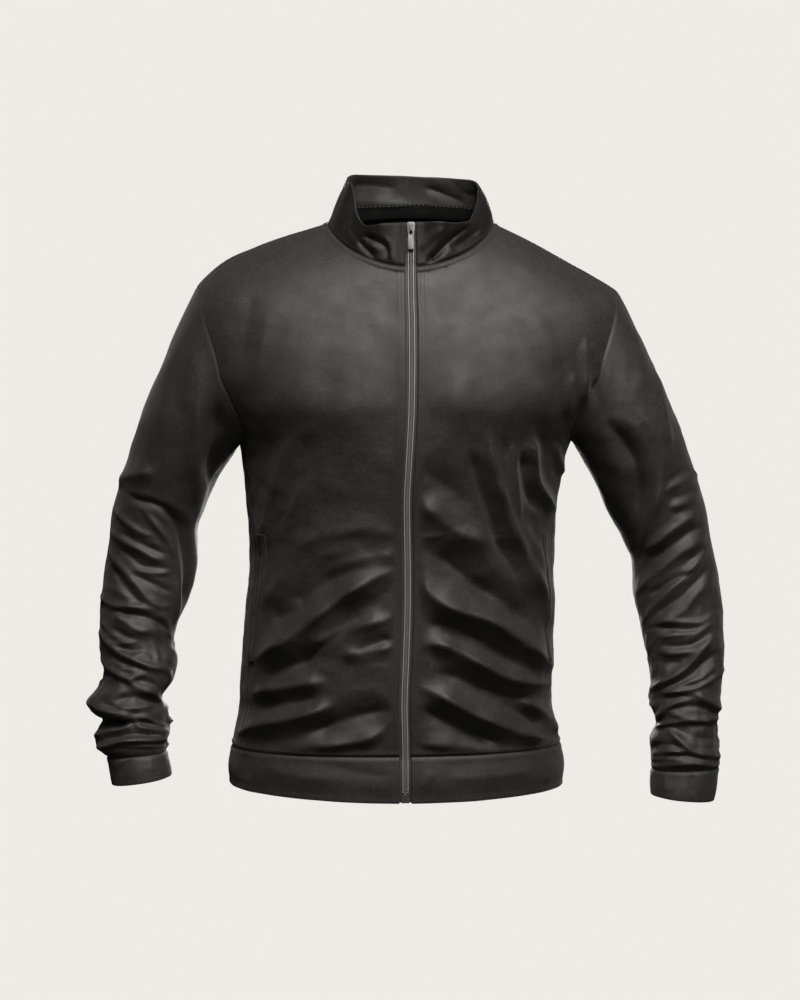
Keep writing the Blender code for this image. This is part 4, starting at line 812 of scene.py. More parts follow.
def armhole_turns(armhole):
    """Each armhole point's turn on the sleeve: half the way round before the underarm."""
    run = run_along(np.vstack((armhole, armhole[:1])))
    under = ARMHOLE_ROWS
    return np.where(np.arange(len(armhole)) <= under,
                    math.pi * run[:-1] / run[under],
                    math.pi + math.pi * (run[:-1] - run[under]) / (run[-1] - run[under]))


def sleeve_cap(side, armhole, turn, step=0.02):
    """The rounded cloth from the armhole's points to the sleeve's first ring."""
    first = sleeve_base(side, turn, 0.0)
    onward = unit(sleeve_base(side, turn, step) - first)
    chord = first - armhole
    lower, upper = CAP_FULLNESS
    full = lower + (upper - lower) * (1 + np.cos(turn)) / 2
    leave = chord + 4 * full[:, None] * unit(first - first.mean(axis=0))
    straight, bent = CAP_ARRIVAL
    arrive = straight * chord + bent * onward * np.linalg.norm(chord, axis=1, keepdims=True)
    return hermite(armhole, leave, first, arrive, np.linspace(0, 1, CAP_ROWS + 1)[:, None, None])


def sleeve_grid(side, armhole):
    """A sleeve's outer face from the armhole's points to the cuff seam, and its turns."""
    turn = armhole_turns(armhole)
    end = SLEEVE_END[side]
    stations = np.linspace(0, end, SLEEVE_ROWS + 1)[1:]
    grid = np.concatenate((sleeve_cap(side, armhole, turn),
                           sleeve_base(side, turn, stations[:, None])))
    place = np.concatenate((np.zeros(CAP_ROWS + 1), stations))[:, None]
    born = np.concatenate((smooth(*CAP_CALM, np.linspace(0, 1, CAP_ROWS + 1)),
                           np.ones(SLEEVE_ROWS)))[:, None]
    facing = smooth(*SLEEVE_FACING, np.sin(turn))[None, :]
    front = SLEEVE_FRONT_FOLDS[side]
    rougher = SLEEVE_TOP_WAVES + (1 - SLEEVE_TOP_WAVES) * smooth(*ROUGHER_PAST, place)
    height = (soften(SLEEVE_DEPTH * turned_folds(grid, facing, front, behind(side, front)))
              + waver(grid, "sleeve_slow", side) + rougher * waver(grid, "sleeve", side))
    height *= born * edge_calm(CUFF_CALM, end - place)
    down = unit(np.gradient(grid.mean(axis=1), axis=0))[:, None, :]
    lean = SLEEVE_LEAN * smooth(*SAG_STATIONS, place) * np.maximum(height, 0)
    return grid + way_out(grid, True) * height[..., None] + down * lean[..., None], turn


def cuff_grid(side, turn):
    """A cuff's outer face, from its seam to its mouth."""
    share = near_start(CUFF_SHARES, CUFF_ROWS)
    end = SLEEVE_END[side]
    ring = sleeve_base(side, turn[None, :], (end + (1 - end) * share)[:, None])
    middle = ring.mean(axis=1, keepdims=True)
    ring = ring + (ring - middle) * CUFF_SWELL * np.sin(math.pi * share)[:, None, None]
    height = fold_height(ring, CUFF_FOLDS) * (np.sin(turn) > 0) + waver(ring, "cuff")
    return ring + unit(ring - middle) * (height * smooth(*BAND_CALM, share)[:, None])[..., None]


# ---------------------------------------------------------------- making pieces

def add_object(name, data):
    made = bpy.data.objects.new(name, data)
    bpy.context.scene.collection.objects.link(made)
    return made


def dress(piece, material, body="jacket", nodes=()):
    """Gives a piece its material, the body it rides on and the nodes it stands for."""
    piece.data.materials.append(material)
    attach(piece, body)
    if nodes:
        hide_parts(*nodes)
    return piece


def make_mesh(name, points, faces, uv=None, sharp=0):
    mesh = bpy.data.meshes.new(name)
    mesh.from_pydata(points.reshape(-1, 3).tolist(), [], faces.tolist())
    if uv is not None:
        layer = mesh.uv_layers.new(name="cloth")
        layer.data.foreach_set("uv", uv.reshape(-1).astype(np.float32))
    mesh.shade_smooth()
    if sharp:
        mesh.set_sharp_from_angle(angle=math.radians(sharp))
    return mesh


def lengths(grid, axis):
    """Distance along a grid's rows or columns from its first point."""
    steps = np.linalg.norm(np.diff(grid, axis=axis), axis=2)
    pad = [(0, 0), (0, 0)]
    pad[axis] = (1, 0)
    return np.cumsum(np.pad(steps, pad), axis=axis)


def seam_profile(distance):
    """Height of the outer face beside a seam: rolled in, then lifted by the allowance."""
    return (SEAM_SWELL * np.exp(-((distance - SEAM_SWELL_AT) / SEAM_SWELL_WIDTH) ** 2)
            - SEAM_DIP * np.exp(-(distance / SEAM_WIDTH) ** 2))


class Sheet:
    """A cloth piece's outer face: its points, directions out, and distances to its edges.

    The knit's ribs run beside the column named by grain, or along all columns alike."""

    def __init__(self, grid, tube=False, grain=None):
        self.grid, self.tube, self.grain = grid, tube, grain
        self.out = way_out(grid, tube)
        self.across, self.up = lengths(grid, 1), lengths(grid, 0)

    def edge(self, name):
        """Each point's distance from an edge."""
        return {"start": self.across, "end": self.across[:, -1:] - self.across,
                "bottom": self.up, "top": self.up[-1:] - self.up}[name]

    def lift(self, height):
        self.grid = self.grid + self.out * np.asarray(height)[..., None]
        return self

    def seam(self, *names, depth=1.0):
        return self.lift(depth * sum(seam_profile(self.edge(name)) for name in names))

    def ridge(self, name, at, width, height):
        """A line of lifted cloth beside an edge."""
        return self.lift(height * np.exp(-((self.edge(name) - at) / width) ** 2))

    def meet(self, name, line, reach=0.004, rows=None):
        """Pulls an edge onto the points where the neighbouring piece ends."""
        if name in ("start", "end"):
            pull = (line - self.grid[:, 0 if name == "start" else -1])[:, None]
            if rows is not None:
                pull = pull * rows[:, None, None]
        else:
            pull = (line - self.grid[0 if name == "bottom" else -1])[None]
        self.grid = self.grid + pull * np.exp(-(self.edge(name) / reach) ** 2)[..., None]
        return self

    def layers(self, thickness, rounded=()):
        """Outer and inner points, with edges that are folds rounded off."""
        thick = np.broadcast_to(thickness, self.grid.shape[:2])
        inward = np.zeros_like(thick)
        for name in rounded:
            radius = thick / 2
            t = np.clip(self.edge(name) / radius, 0, 1)
            inward = np.maximum(inward, radius * (1 - np.sqrt(1 - (1 - t) ** 2)))
        return (self.grid - self.out * inward[..., None],
                self.grid - self.out * (thick - inward)[..., None])

    def along(self, name, distance):
        """A line of points and directions at a distance from an edge."""
        far, grid, out = self.edge(name), self.grid, self.out
        if name in ("bottom", "top"):
            far, grid, out = far.T, grid.transpose(1, 0, 2), out.transpose(1, 0, 2)
        if name in ("end", "top"):
            far, grid, out = far[:, ::-1], grid[:, ::-1], out[:, ::-1]
        j = np.clip((far < distance).sum(axis=1) - 1, 0, grid.shape[1] - 2)
        i = np.arange(len(far))
        share = np.clip((distance - far[i, j]) / (far[i, j + 1] - far[i, j]), 0, 1)[:, None]
        return (grid[i, j] * (1 - share) + grid[i, j + 1] * share,
                unit(out[i, j] * (1 - share) + out[i, j + 1] * share))


def wall_loop(outer, inner, folded):
    """Rows of points up the outer face, round the edge if it is folded, and down inside."""
    loop = [outer]
    if folded:
        middle, half = (outer[-1] + inner[-1]) / 2, (outer[-1] - inner[-1]) / 2
        onward = unit(outer[-1] - outer[-2]) * np.linalg.norm(half, axis=1, keepdims=True)
        loop += [(middle + half * math.cos(a) + onward * math.sin(a))[None]
                 for a in np.radians(EDGE_FOLD_ANGLES)]
    return np.concatenate(loop + [inner[::-1]])


def wall_lengths(sheet, loop, turned_over):
    """Distances across a wall's rows, and along its loop, for laying the knit out flat."""
    across = np.concatenate((sheet.across, sheet.across[:, -1:] * ROUND_AGAIN), axis=1)
    steps = np.linalg.norm(np.diff(loop, axis=0), axis=2)
    if sheet.grain is None:
        across = np.broadcast_to(across.mean(axis=0), across.shape)
        steps = steps.mean(axis=1)
    else:
        across = across - across[:, sheet.grain, None]
        steps = steps[:, sheet.grain]
    if turned_over:
        across = across[::-1]
    u = np.concatenate([across] + [across[-1:]] * (len(loop) - 2 * len(across))
                       + [across[::-1]])
    v = np.append(0.0, np.cumsum(steps))
    return u, np.append(v, v[-1] + CLOSING_STRIP)


def corner_uv(u, v):
    """Pairs for the four corners of some faces."""
    return np.stack((np.stack(u, axis=1), np.stack(v, axis=1)), axis=2)


def closed_wall(name, sheet, outer, inner, fold=None):
    """A closed wall: up the outer face, over the edge and down the inner face."""
    if fold == "bottom":
        outer, inner = outer[::-1], inner[::-1]
    loop = wall_loop(outer, inner, fold)
    rows, columns = loop.shape[:2]
    spans = columns if sheet.tube else columns - 1
    r, c = (x.ravel() for x in np.meshgrid(np.arange(rows), np.arange(spans), indexing="ij"))
    after, beside = (r + 1) % rows, (c + 1) % columns
    faces = np.stack((r * columns + c, r * columns + beside, after * columns + beside,
                      after * columns + c), axis=1)
    u, v = wall_lengths(sheet, loop, fold == "bottom")
    uv = corner_uv((u[r, c], u[r, c + 1], u[after, c + 1], u[after, c]),
                   (v[r], v[r], v[r + 1], v[r + 1]))
    if not sheet.tube:
        # close the two ends, between the outer and the inner rows
        k = np.arange(rows // 2 - 1)
        other = rows - 1 - k
        ends = np.stack((k * columns, (k + 1) * columns, (other - 1) * columns,
                         other * columns), axis=1)
        faces = np.concatenate((faces, ends, ends[:, ::-1] + columns - 1))
        near, far = np.zeros(len(k)), np.full(len(k), END_STRIP)
        flat = corner_uv((v[k], v[k + 1], v[k + 1], v[k]), (near, near, far, far))
        uv = np.concatenate((uv, flat, flat))
    test = np.cross(outer[1, 1] - outer[1, 0], outer[2, 0] - outer[1, 0])
    if np.dot(test, sheet.out[-2 if fold == "bottom" else 1, 0]) < 0:
        faces, uv = faces[:, ::-1], uv[:, ::-1]
    return make_mesh(name, loop, faces, uv, sharp=SHARP_EDGE)


SHEETS = {}


def cloth_piece(name, sheet, thickness, material, rounded=(), fold=None):
    """A sheet as a closed wall of cloth, in place of the model's nodes."""
    SHEETS[name] = sheet
    outer, inner = sheet.layers(thickness, rounded)
    mesh = closed_wall(name + "_cloth", sheet, outer, inner, fold)
    return dress(add_object(name + "_cloth", mesh), material,
                 nodes=STRETCHES.get(name, (name,)))


# ---------------------------------------------------------------- materials
WAVE_REPEAT = 0.314         # a wave texture of scale 1 repeats after so many metres
COURSE_HEIGHT = 0.8         # of the knit's courses, as a share of its wales' width


def nodes_of(name):
    """A new material, its node tree and its shader."""
    made = bpy.data.materials.new(name)
    made.use_nodes = True
    tree = made.node_tree
    return made, tree, tree.nodes["Principled BSDF"]


def set_inputs(node, values):
    for key, value in values.items():
        node.inputs[key].default_value = value


def add_node(tree, kind, values=(), **settings):
    node = tree.nodes.new(kind)
    for key, value in settings.items():
        setattr(node, key, value)
    set_inputs(node, dict(values))
    return node


def texture(tree, kind, vector, values, **settings):
    """A texture's value at a vector."""
    node = add_node(tree, "ShaderNodeTex" + kind, values, **settings)
    tree.links.new(vector, node.inputs["Vector"])
    return node.outputs["Fac"]


def together(tree, operation, first, second):
    """Two values added or multiplied."""
    node = add_node(tree, "ShaderNodeMath", operation=operation)
    tree.links.new(first, node.inputs[0])
    tree.links.new(second, node.inputs[1])
    return node.outputs[0]


def colour_varies(tree, shader, source, dark, light, start=0.3, end=0.7):
    """A base colour between two colours, driven by a texture's value."""
    ramp = tree.nodes.new("ShaderNodeValToRGB")
    for element, color, position in zip(ramp.color_ramp.elements, (dark, light), (start, end)):
        element.color = (*color, 1)
        element.position = position
    tree.links.new(source, ramp.inputs["Fac"])
    tree.links.new(ramp.outputs["Color"], shader.inputs["Base Color"])


def roughness_varies(tree, shader, source, low, high):
    spread = add_node(tree, "ShaderNodeMapRange",
                      {"From Min": 0.3, "From Max": 0.7, "To Min": low, "To Max": high})
    tree.links.new(source, spread.inputs["Value"])
    tree.links.new(spread.outputs["Result"], shader.inputs["Roughness"])


def surface_relief(tree, shader, source, strength, distance):
    bump = add_node(tree, "ShaderNodeBump", {"Strength": strength, "Distance": distance})
    tree.links.new(source, bump.inputs["Height"])
    tree.links.new(bump.outputs["Normal"], shader.inputs["Normal"])


def streaks(tree, shade, vector, scale, share):
    """Mixes yarn that is stretched along one direction into a texture's value."""
    stretch = add_node(tree, "ShaderNodeMapping", {"Scale": scale})
    tree.links.new(vector, stretch.inputs["Vector"])
    yarn = texture(tree, "Noise", stretch.outputs["Vector"], {"Scale": 1.0, "Detail": 2.0})
    blend = add_node(tree, "ShaderNodeMix", {"Factor": share})
    tree.links.new(shade, blend.inputs["A"])
    tree.links.new(yarn, blend.inputs["B"])
    return blend.outputs["Result"]


def cloth_material(name, dark, light, rough, sheen, wale=0.0009, relief=0.00007,
                   specular=0.46):
    """A fine knit: close ribs along the cloth, uneven yarn, a little fuzz, broad sheen."""
    made, tree, shader = nodes_of(name)
    place = tree.nodes.new("ShaderNodeTexCoord")
    solid, flat = place.outputs["Object"], place.outputs["UV"]
    mottle = texture(tree, "Noise", solid, {"Scale": 38.0, "Detail": 5.0, "Roughness": 0.65})
    fuzz = texture(tree, "Noise", solid, {"Scale": 2600.0, "Detail": 2.0})

    # Thick and thin yarn: flecks, with streaks along the ribs and, fainter, across them
    shade = texture(tree, "Noise", solid, {"Scale": 430.0, "Detail": 3.0, "Roughness": 0.7})
    shade = streaks(tree, shade, flat, (760.0, 60.0, 1.0), 0.30)
    shade = streaks(tree, shade, flat, (70.0, 620.0, 1.0), 0.22)
    colour_varies(tree, shader, shade, dark, light, 0.40, 0.60)
    roughness_varies(tree, shader, mottle, rough - 0.05, rough + 0.06)

    ribs = texture(tree, "Wave", flat, {"Scale": WAVE_REPEAT / wale, "Distortion": 1.2,
                                        "Detail": 1.0, "Detail Scale": 2.0},
                   wave_type="BANDS", bands_direction="X")
    courses = texture(tree, "Wave", flat, {"Scale": WAVE_REPEAT / wale / COURSE_HEIGHT,
                                           "Distortion": 0.6},
                      wave_type="BANDS", bands_direction="Y")
    knit = together(tree, "MULTIPLY", ribs, courses)
    yarn = together(tree, "ADD", shade, fuzz)
    surface_relief(tree, shader, together(tree, "ADD", knit, yarn), 0.8, relief)
    set_inputs(shader, {"Specular IOR Level": specular, "Sheen Weight": sheen,
                        "Sheen Roughness": 0.45, "Sheen Tint": (0.80, 0.79, 0.76, 1)})
    return made


def plain_material(name, dark, light, rough, metallic=0.0, scale=400.0, relief=0.00003):
    """Metal, plastic or thread: a fine uneven surface."""
    made, tree, shader = nodes_of(name)
    place = tree.nodes.new("ShaderNodeTexCoord")
    noise = texture(tree, "Noise", place.outputs["Object"], {"Scale": scale, "Detail": 4.0})
    colour_varies(tree, shader, noise, dark, light)
    roughness_varies(tree, shader, noise, rough - 0.06, rough + 0.08)
    surface_relief(tree, shader, noise, 0.5, relief)
    shader.inputs["Metallic"].default_value = metallic
    return made


JERSEY = cloth_material("jersey_knit", (0.0100, 0.0098, 0.0093), (0.0255, 0.0250, 0.0238),
                        0.56, 0.16, specular=0.48)
BAND = cloth_material("band_knit", (0.0140, 0.0137, 0.0131), (0.0320, 0.0314, 0.0300),
                      0.60, 0.14)
WOVEN = cloth_material("woven_tape", (0.026, 0.0255, 0.0245), (0.040, 0.0394, 0.038),
                       0.62, 0.15, wale=0.0006, relief=0.00010)
# The collar's outer face: the jersey knit made darker and less shiny; this darkness is painted
# shade
COLLAR_PAINTED_SHADE = cloth_material("collar_knit_painted_shade", (0.0045, 0.0044, 0.0042), (0.0110, 0.0108, 0.0103),
                        0.46, 0.08, specular=0.24)
NECK_WOVEN = cloth_material("neck_tape", (0.0030, 0.0030, 0.0032), (0.0060, 0.0060, 0.0062),
                            0.70, 0.02, wale=0.0006, relief=0.00010, specular=0.06)
COIL = plain_material("nylon_coil", (0.075, 0.074, 0.071), (0.115, 0.114, 0.110), 0.36)
THREAD = plain_material("thread", (0.020, 0.020, 0.019), (0.032, 0.032, 0.030), 0.50,
                        scale=1500.0)
ZIP_THREAD = plain_material("zip_thread", (0.42, 0.42, 0.405), (0.56, 0.56, 0.54), 0.50,
                            scale=1500.0)
METAL = plain_material("satin_metal", (0.12, 0.12, 0.116), (0.19, 0.19, 0.183), 0.44,
                       metallic=0.9, scale=900.0, relief=0.00001)


# ---------------------------------------------------------------- cloth pieces

def make_panels():
    """The fronts and the back. Returns each panel's points from before its seams roll in."""
    raw = {}
    for part, (edges, grain) in PANELS.items():
        raw[part] = body_point(column_angles(STATIONS, part), STATIONS[:, None])
        sheet = Sheet(raw[part], grain=grain).seam("bottom", "top")
        sheet.seam(*edges, depth=SIDE_SEAM_DEPTH)
        for ridge in RIDGES:
            sheet.ridge(*ridge)
        SHEETS[part] = sheet
    closed = np.ones(len(STATIONS))
    closed[ARMHOLE] = 0.0
    SHEETS["back"].meet("start", SHEETS["front_left"].grid[:, -1], rows=closed)
    SHEETS["back"].meet("end", SHEETS["front_right"].grid[:, 0], rows=closed)
    for part, edge in (("front_left", "start"), ("back", None), ("front_right", "end")):
        sheet = SHEETS[part]
        thick = CLOTH
        if edge:
            single = smooth(*FACING_END, sheet.edge(edge))
            thick = DOUBLE_CLOTH - (DOUBLE_CLOTH - CLOTH) * single
        cloth_piece(part, sheet, thick, JERSEY, rounded=(edge,) if edge else ())
    return raw


def armhole_ring(side, front, back):
    """Points round an armhole: down the front panel's edge and up the back's."""
    front_column, back_column = (0, -1) if side < 0 else (-1, 0)
    return np.concatenate((front[ARMHOLE, front_column][:0:-1],
                           back[ARMHOLE, back_column][:-1]))


def make_sleeves_and_cuffs(raw):
    for side, word in SIDES:
        front, sleeve, cuff = "front_" + word, "sleeve_" + word, "cuff_" + word
        grid, turns = sleeve_grid(side, armhole_ring(side, raw[front], raw["back"]))
        sheet = Sheet(grid, tube=True).seam("bottom", depth=SIDE_SEAM_DEPTH).seam("top")
        sheet.meet("bottom", armhole_ring(side, SHEETS[front].grid, SHEETS["back"].grid))
        cloth_piece(sleeve, sheet, CLOTH, JERSEY)
        sheet = Sheet(cuff_grid(side, turns), tube=True).seam("bottom")
        sheet.meet("bottom", SHEETS[sleeve].grid[-1])
        cloth_piece(cuff, sheet, DOUBLE_CLOTH, BAND, fold="top")


def panel_ends(row):
    """The panels' points along one end, all round."""
    return all_round({part: SHEETS[part].grid[row] for part in PANELS})


def make_collar_and_hem_band():
    share = near_start(COLLAR_SHARES, COLLAR_ROWS)
    sheet = Sheet(collar_point(round_angles(1.0)[None, :], share[:, None])).seam("bottom")
    sheet.meet("bottom", panel_ends(-1))
    collar = cloth_piece("collar", sheet, DOUBLE_CLOTH, COLLAR_PAINTED_SHADE,
                         rounded=("start", "end"), fold="top")
    # the inner face and most of the fold are the plain knit; the outer face has the darker copy
    # of it, whose darkness is painted shade
    collar.data.materials.append(JERSEY)
    rows, spans = sheet.grid.shape[0], sheet.grid.shape[1] - 1
    for face in collar.data.polygons[(rows + 1) * spans:(2 * rows + 4) * spans]:
        face.material_index = 1

    sheet = Sheet(band_point(round_angles(0.0)[None, :], share[::-1, None])).seam("top")
    sheet.meet("top", panel_ends(0))
    cloth_piece("hem_band", sheet, DOUBLE_CLOTH, BAND, rounded=("start", "end"),
                fold="bottom")


def make_pocket_welts():
    low, high = WELT_STATIONS
    s = near_ends(WELT_ROWS)[:, None]
    station = low + (high - low) * s
    reach = WELT_REACH * BODY.at("half_width", station)
    far = seam_angle(station) - (WELT_INSET + WELT_SLANT * s) / reach
    angle = far - WELT_WIDTH / reach * (1 - near_ends(WELT_COLUMNS)[None, :])
    for side, word in SIDES:
        points = body_point(side * angle, np.broadcast_to(station, angle.shape))
        sheet = Sheet(points[:, ::-1] if side < 0 else points).lift(WELT_LIFT)
        cloth_piece("pocket_welt_" + word, sheet, WELT_THICK, JERSEY,
                    rounded=("start", "end", "bottom", "top"))


def make_neck_tape():
    angles = round_angles(1.0)
    angles = angles[np.cos(angles) < NECK_TAPE_END]
    rise = np.linspace(*NECK_TAPE_RISE, NECK_TAPE_ROWS)
    sheet = Sheet(collar_point(angles[None, :], rise[:, None]))
    sheet.lift(-(DOUBLE_CLOTH + NECK_TAPE_GAP))
    cloth_piece("neck_tape", sheet, TAPE, NECK_WOVEN, rounded=("bottom", "top"))


RAW_PANELS = make_panels()
make_sleeves_and_cuffs(RAW_PANELS)
make_collar_and_hem_band()
make_pocket_welts()
make_neck_tape()

# ---------------------------------------------------------------- zip
RAIL_STEP = 0.0012
RAIL_EVENED = 9             # points that are averaged along the zip's middle line
TAPE_REACH = 0.014
TAPE_LEAN = 0.0008
TAPE_FLAT = 0.006           # from the middle: the tape lies flat to here, then leans in
TAPE_PARTING = 0.0008
TAPE_STEP = 0.0024
COIL_SUNK = 0.0004
COIL_PITCH = 0.00195
COIL_WIRE = 0.00052
COIL_START = 0.0098         # the bottom box ends here
COIL_UNDER_SLIDER = 0.0035
COIL_THREAD_AT = 0.0029     # a row of thread on each side holds the coils down
COIL_THREAD_SUNK = 0.00010
THREAD_POINTS = 500
SLIDER_BELOW_TOP = 0.0075   # the slider's middle, below the collar's top edge
# One tooth's wire as (across, up, out), and its thickness as shares of COIL_WIRE
TOOTH = ((0.0028, 0.0, -0.0016), (0.0029, 0.0, -0.0009), (0.0022, 0.0, -0.0004),
         (0.0008, 0.0, -0.00035), (-0.0004, 0.0, -0.0005), (-0.0007, 0.0, -0.0010),
         (-0.0004, 0.0001, -0.0016))
TOOTH_THICKNESS = (0.9, 1, 1, 1.05, 1.3, 1.2, 0.8)
# A stitch as (share of its length, radii out), and its thickness there
STITCH = ((-0.5, -0.35, 0.55), (-0.38, 0.10, 1), (0.38, 0.10, 1), (0.5, -0.35, 0.55))
STITCH_PITCH, STITCH_LENGTH, STITCH_RADIUS = 0.0034, 0.0026, 0.00027
# The slider in its own frame: across, up from its middle, and out from the cloth
SLIDER_HALF_LENGTH = 0.0082
SLIDER_LIP = [(0.0044, 0.0074), (0.0035, -0.0074), (0.0029, -0.0074), (0.0037, 0.0074)]
TAPE_BACK = -(DOUBLE_CLOTH + SEAM_GAP + TAPE)
BRIDGE = ((0, -0.0044, 0.0008), (0, -0.0041, 0.0030), (0, -0.0034, 0.0044),
          (0, -0.0018, 0.0050), (0, 0.0004, 0.0049), (0, 0.0022, 0.0040),
          (0, 0.0031, 0.0024), (0, 0.0033, 0.0008))
BRIDGE_RADIUS, BRIDGE_WIDER = 0.00062, 1.9
PIN_UP, PIN_OUT = -0.0018, 0.0026    # the bar that the tab hangs on


def read_line(where, run, values):
    """Points or directions of a line, read at distances along it."""
    return np.stack([np.interp(where, run, values[:, i]) for i in range(3)], axis=-1)


class Rail:
    """The zip's middle line, with its directions, read by the distance from the hem."""

    def __init__(self):
        left = self.edge_points("start", "hem_band", "front_left", "collar")
        right = self.edge_points("end", "hem_band", "front_right", "collar")
        middle = (left + right) / 2
        keep = np.append(True, np.linalg.norm(np.diff(middle, axis=0), axis=1) > 1e-4)
        middle, left, right = middle[keep], left[keep], right[keep]
        run = run_along(middle)
        self.length = run[-1]
        self.s = np.arange(0, self.length, RAIL_STEP)
        self.point = self.even(run, middle)
        self.up = unit(np.gradient(self.point, axis=0))
        across = self.even(run, left - right)
        self.across = unit(across - self.up * (across * self.up).sum(1, keepdims=True))
        self.out = np.cross(self.across, self.up)
        self.coil_end = self.length - SLIDER_BELOW_TOP - SLIDER_HALF_LENGTH + COIL_UNDER_SLIDER

    @staticmethod
    def edge_points(edge, *parts):
        """The front's edge beside the zip, from the hem to the collar's top."""
        return np.concatenate([SHEETS[part].along(edge, 0.0)[0] for part in parts])

    def even(self, run, values):
        """Values at even steps along the zip, averaged with their neighbours."""
        beyond = RAIL_EVENED // 2
        padded = np.pad(read_line(self.s, run, values), ((beyond, beyond), (0, 0)),
                        mode="reflect", reflect_type="odd")
        share = np.ones(RAIL_EVENED) / RAIL_EVENED
        return np.stack([np.convolve(padded[:, i], share, "valid") for i in range(3)], axis=1)

    def at(self, s):
        point, across, up, out = (read_line(s, self.s, values) for values in
                                  (self.point, self.across, self.up, self.out))
        return point, unit(across), unit(up), unit(out)


def copies(template, faces, frames):
    """Many copies of one small shape: frames are (origin, across, up, out) arrays."""
    origin, across, up, out = frames
    points = (origin[:, None, :] + template[None, :, 0, None] * across[:, None, :]
              + template[None, :, 1, None] * up[:, None, :]
              + template[None, :, 2, None] * out[:, None, :])
    all_faces = faces[None] + (np.arange(len(origin)) * len(template))[:, None, None]
    return points.reshape(-1, 3), all_faces.reshape(-1, faces.shape[1])


def joined_mesh(name, batches):
    """One mesh of several batches of (points, faces)."""
    starts = np.cumsum([0] + [len(points) for points, _ in batches])
    faces = [these + start for (_, these), start in zip(batches, starts)]
    return make_mesh(name, np.concatenate([points for points, _ in batches]),
                     np.concatenate(faces))


def tube_shape(path, radii, sides=6):
    """A short closed tube along a path (across, up, out): points and faces of 4 corners."""
    path, radii = np.array(path, dtype=float), np.array(radii)[:, None, None]
    onward = unit(np.gradient(path, axis=0))
    aside = unit(np.cross(onward, (0, 0, 1)))
    above = np.cross(aside, onward)
    angle = (2 * math.pi * np.arange(sides) / sides)[None, :, None]
    rings = (path[:, None, :] + aside[:, None, :] * (np.cos(angle) * radii)
             + above[:, None, :] * (np.sin(angle) * radii))
    points = np.concatenate((rings.reshape(-1, 3), path[:1], path[-1:]))
    faces = []
    for k in range(0, (len(path) - 1) * sides, sides):
        for i in range(sides):
            j = (i + 1) % sides
            faces.append((k + i, k + j, k + sides + j, k + sides + i))
    first, last, top = len(points) - 2, len(points) - 1, (len(path) - 1) * sides
    for a in range(0, sides, 2):
        b, c = a + 1, (a + 2) % sides
        faces.append((first, c, b, a))
        faces.append((last, top + a, top + b, top + c))
    return points, np.array(faces)


def stitch_piece(name, lines, material, pitch=STITCH_PITCH, length=STITCH_LENGTH,
                 radius=STITCH_RADIUS):
    """Stitches along lines of (points, directions out)."""
    shape, faces = tube_shape([(0, y * length, z * radius) for y, z, _ in STITCH],
                              [radius * thick for _, _, thick in STITCH])
    batches = []
    for points, out in lines:
        run = run_along(points)
        s = np.arange(pitch, run[-1] - pitch / 2, pitch)
        if not len(s):
            continue
        origin = read_line(s, run, points)
        up = unit(read_line(s + length / 3, run, points) - read_line(s - length / 3, run, points))
        across = unit(np.cross(up, unit(read_line(s, run, out))))
        batches.append(copies(shape, faces, (origin, across, up, np.cross(across, up))))
    return dress(add_object(name, joined_mesh(name, batches)), material)


def make_coil(rail):
    """The linked coils: two rows of teeth, half a pitch apart."""
    shape, faces = tube_shape(TOOTH, [COIL_WIRE * share for share in TOOTH_THICKNESS])
    spots = np.arange(COIL_START, rail.coil_end, COIL_PITCH)
    batches = []
    for side in (1, -1):
        s = spots + (0.0 if side > 0 else COIL_PITCH / 2)
        point, across, up, out = rail.at(s[s < rail.coil_end])
        batches.append(copies(shape * (side, 1, 1), faces[:, ::side],
                              (point - out * COIL_SUNK, across, up, out)))
    teeth = add_object("zip_coil_teeth", joined_mesh("zip_coil_teeth", batches))
    dress(teeth, COIL, nodes=("zip_coil",))


def make_coil_thread(rail):
    """Two rows of pale stitches, which hold the coils to the tapes."""
    point, across, _, out = rail.at(np.linspace(COIL_START, rail.coil_end, THREAD_POINTS))
    lines = [(point + across * x - out * (COIL_SUNK + COIL_THREAD_SUNK), out)
             for x in (-COIL_THREAD_AT, COIL_THREAD_AT)]
    stitch_piece("zip_coil_thread", lines, ZIP_THREAD, pitch=0.0024,
                 length=0.0020, radius=0.00046)


def make_zip_tapes(rail):
    point, across, _, out = (x[:, None] for x in rail.at(np.arange(0, rail.length, TAPE_STEP)))
    reach = np.linspace(TAPE_PARTING, TAPE_REACH, ZIP_TAPE_COLUMNS)
    depth = DOUBLE_CLOTH + SEAM_GAP + TAPE_LEAN * smooth(TAPE_FLAT, TAPE_REACH, reach)
    for side, word in SIDES:
        grid = point + side * across * reach[None, :, None] - out * depth[None, :, None]
        cloth_piece("zip_tape_" + word, Sheet(grid[:, ::-1] if side < 0 else grid), TAPE,
                    WOVEN, rounded=("start", "end"))


def frame_at(origin, across, up, out):
    return Matrix.Translation(Vector(origin)) @ Matrix(
        (Vector(across), Vector(up), Vector(out))).transposed().to_4x4()


def slider_frame():
    """The slider's own frame, on the collar's front edges and level across."""
    edges = np.array([zip_edge(1.0), -zip_edge(1.0)])
    top, below = (collar_point(edges, rise).mean(axis=0) for rise in (1.0, 0.75))
    across, up = np.array((1.0, 0.0, 0.0)), unit(top - below)
    return frame_at(top - up * SLIDER_BELOW_TOP, across, up, np.cross(across, up))


def rounded_outline(half_top, half_bottom, bottom, top, radius, steps=5):
    """A four-sided outline with round corners, wider or narrower at the top."""
    corners = ((half_bottom, bottom), (half_top, top), (-half_top, top), (-half_bottom, bottom))
    points = []
    for i, (x, y) in enumerate(corners):
        middle_x = x - math.copysign(radius, x)
        middle_y = y - math.copysign(radius, y - (bottom + top) / 2)
        for k in range(steps + 1):
            a = math.radians(90 * (i - 1) + 90 * k / steps)
            points.append((middle_x + radius * math.cos(a), middle_y + radius * math.sin(a)))
    return points


SLIDER_OUTLINE = rounded_outline(0.0049, 0.0036, -SLIDER_HALF_LENGTH, SLIDER_HALF_LENGTH, 0.0020)
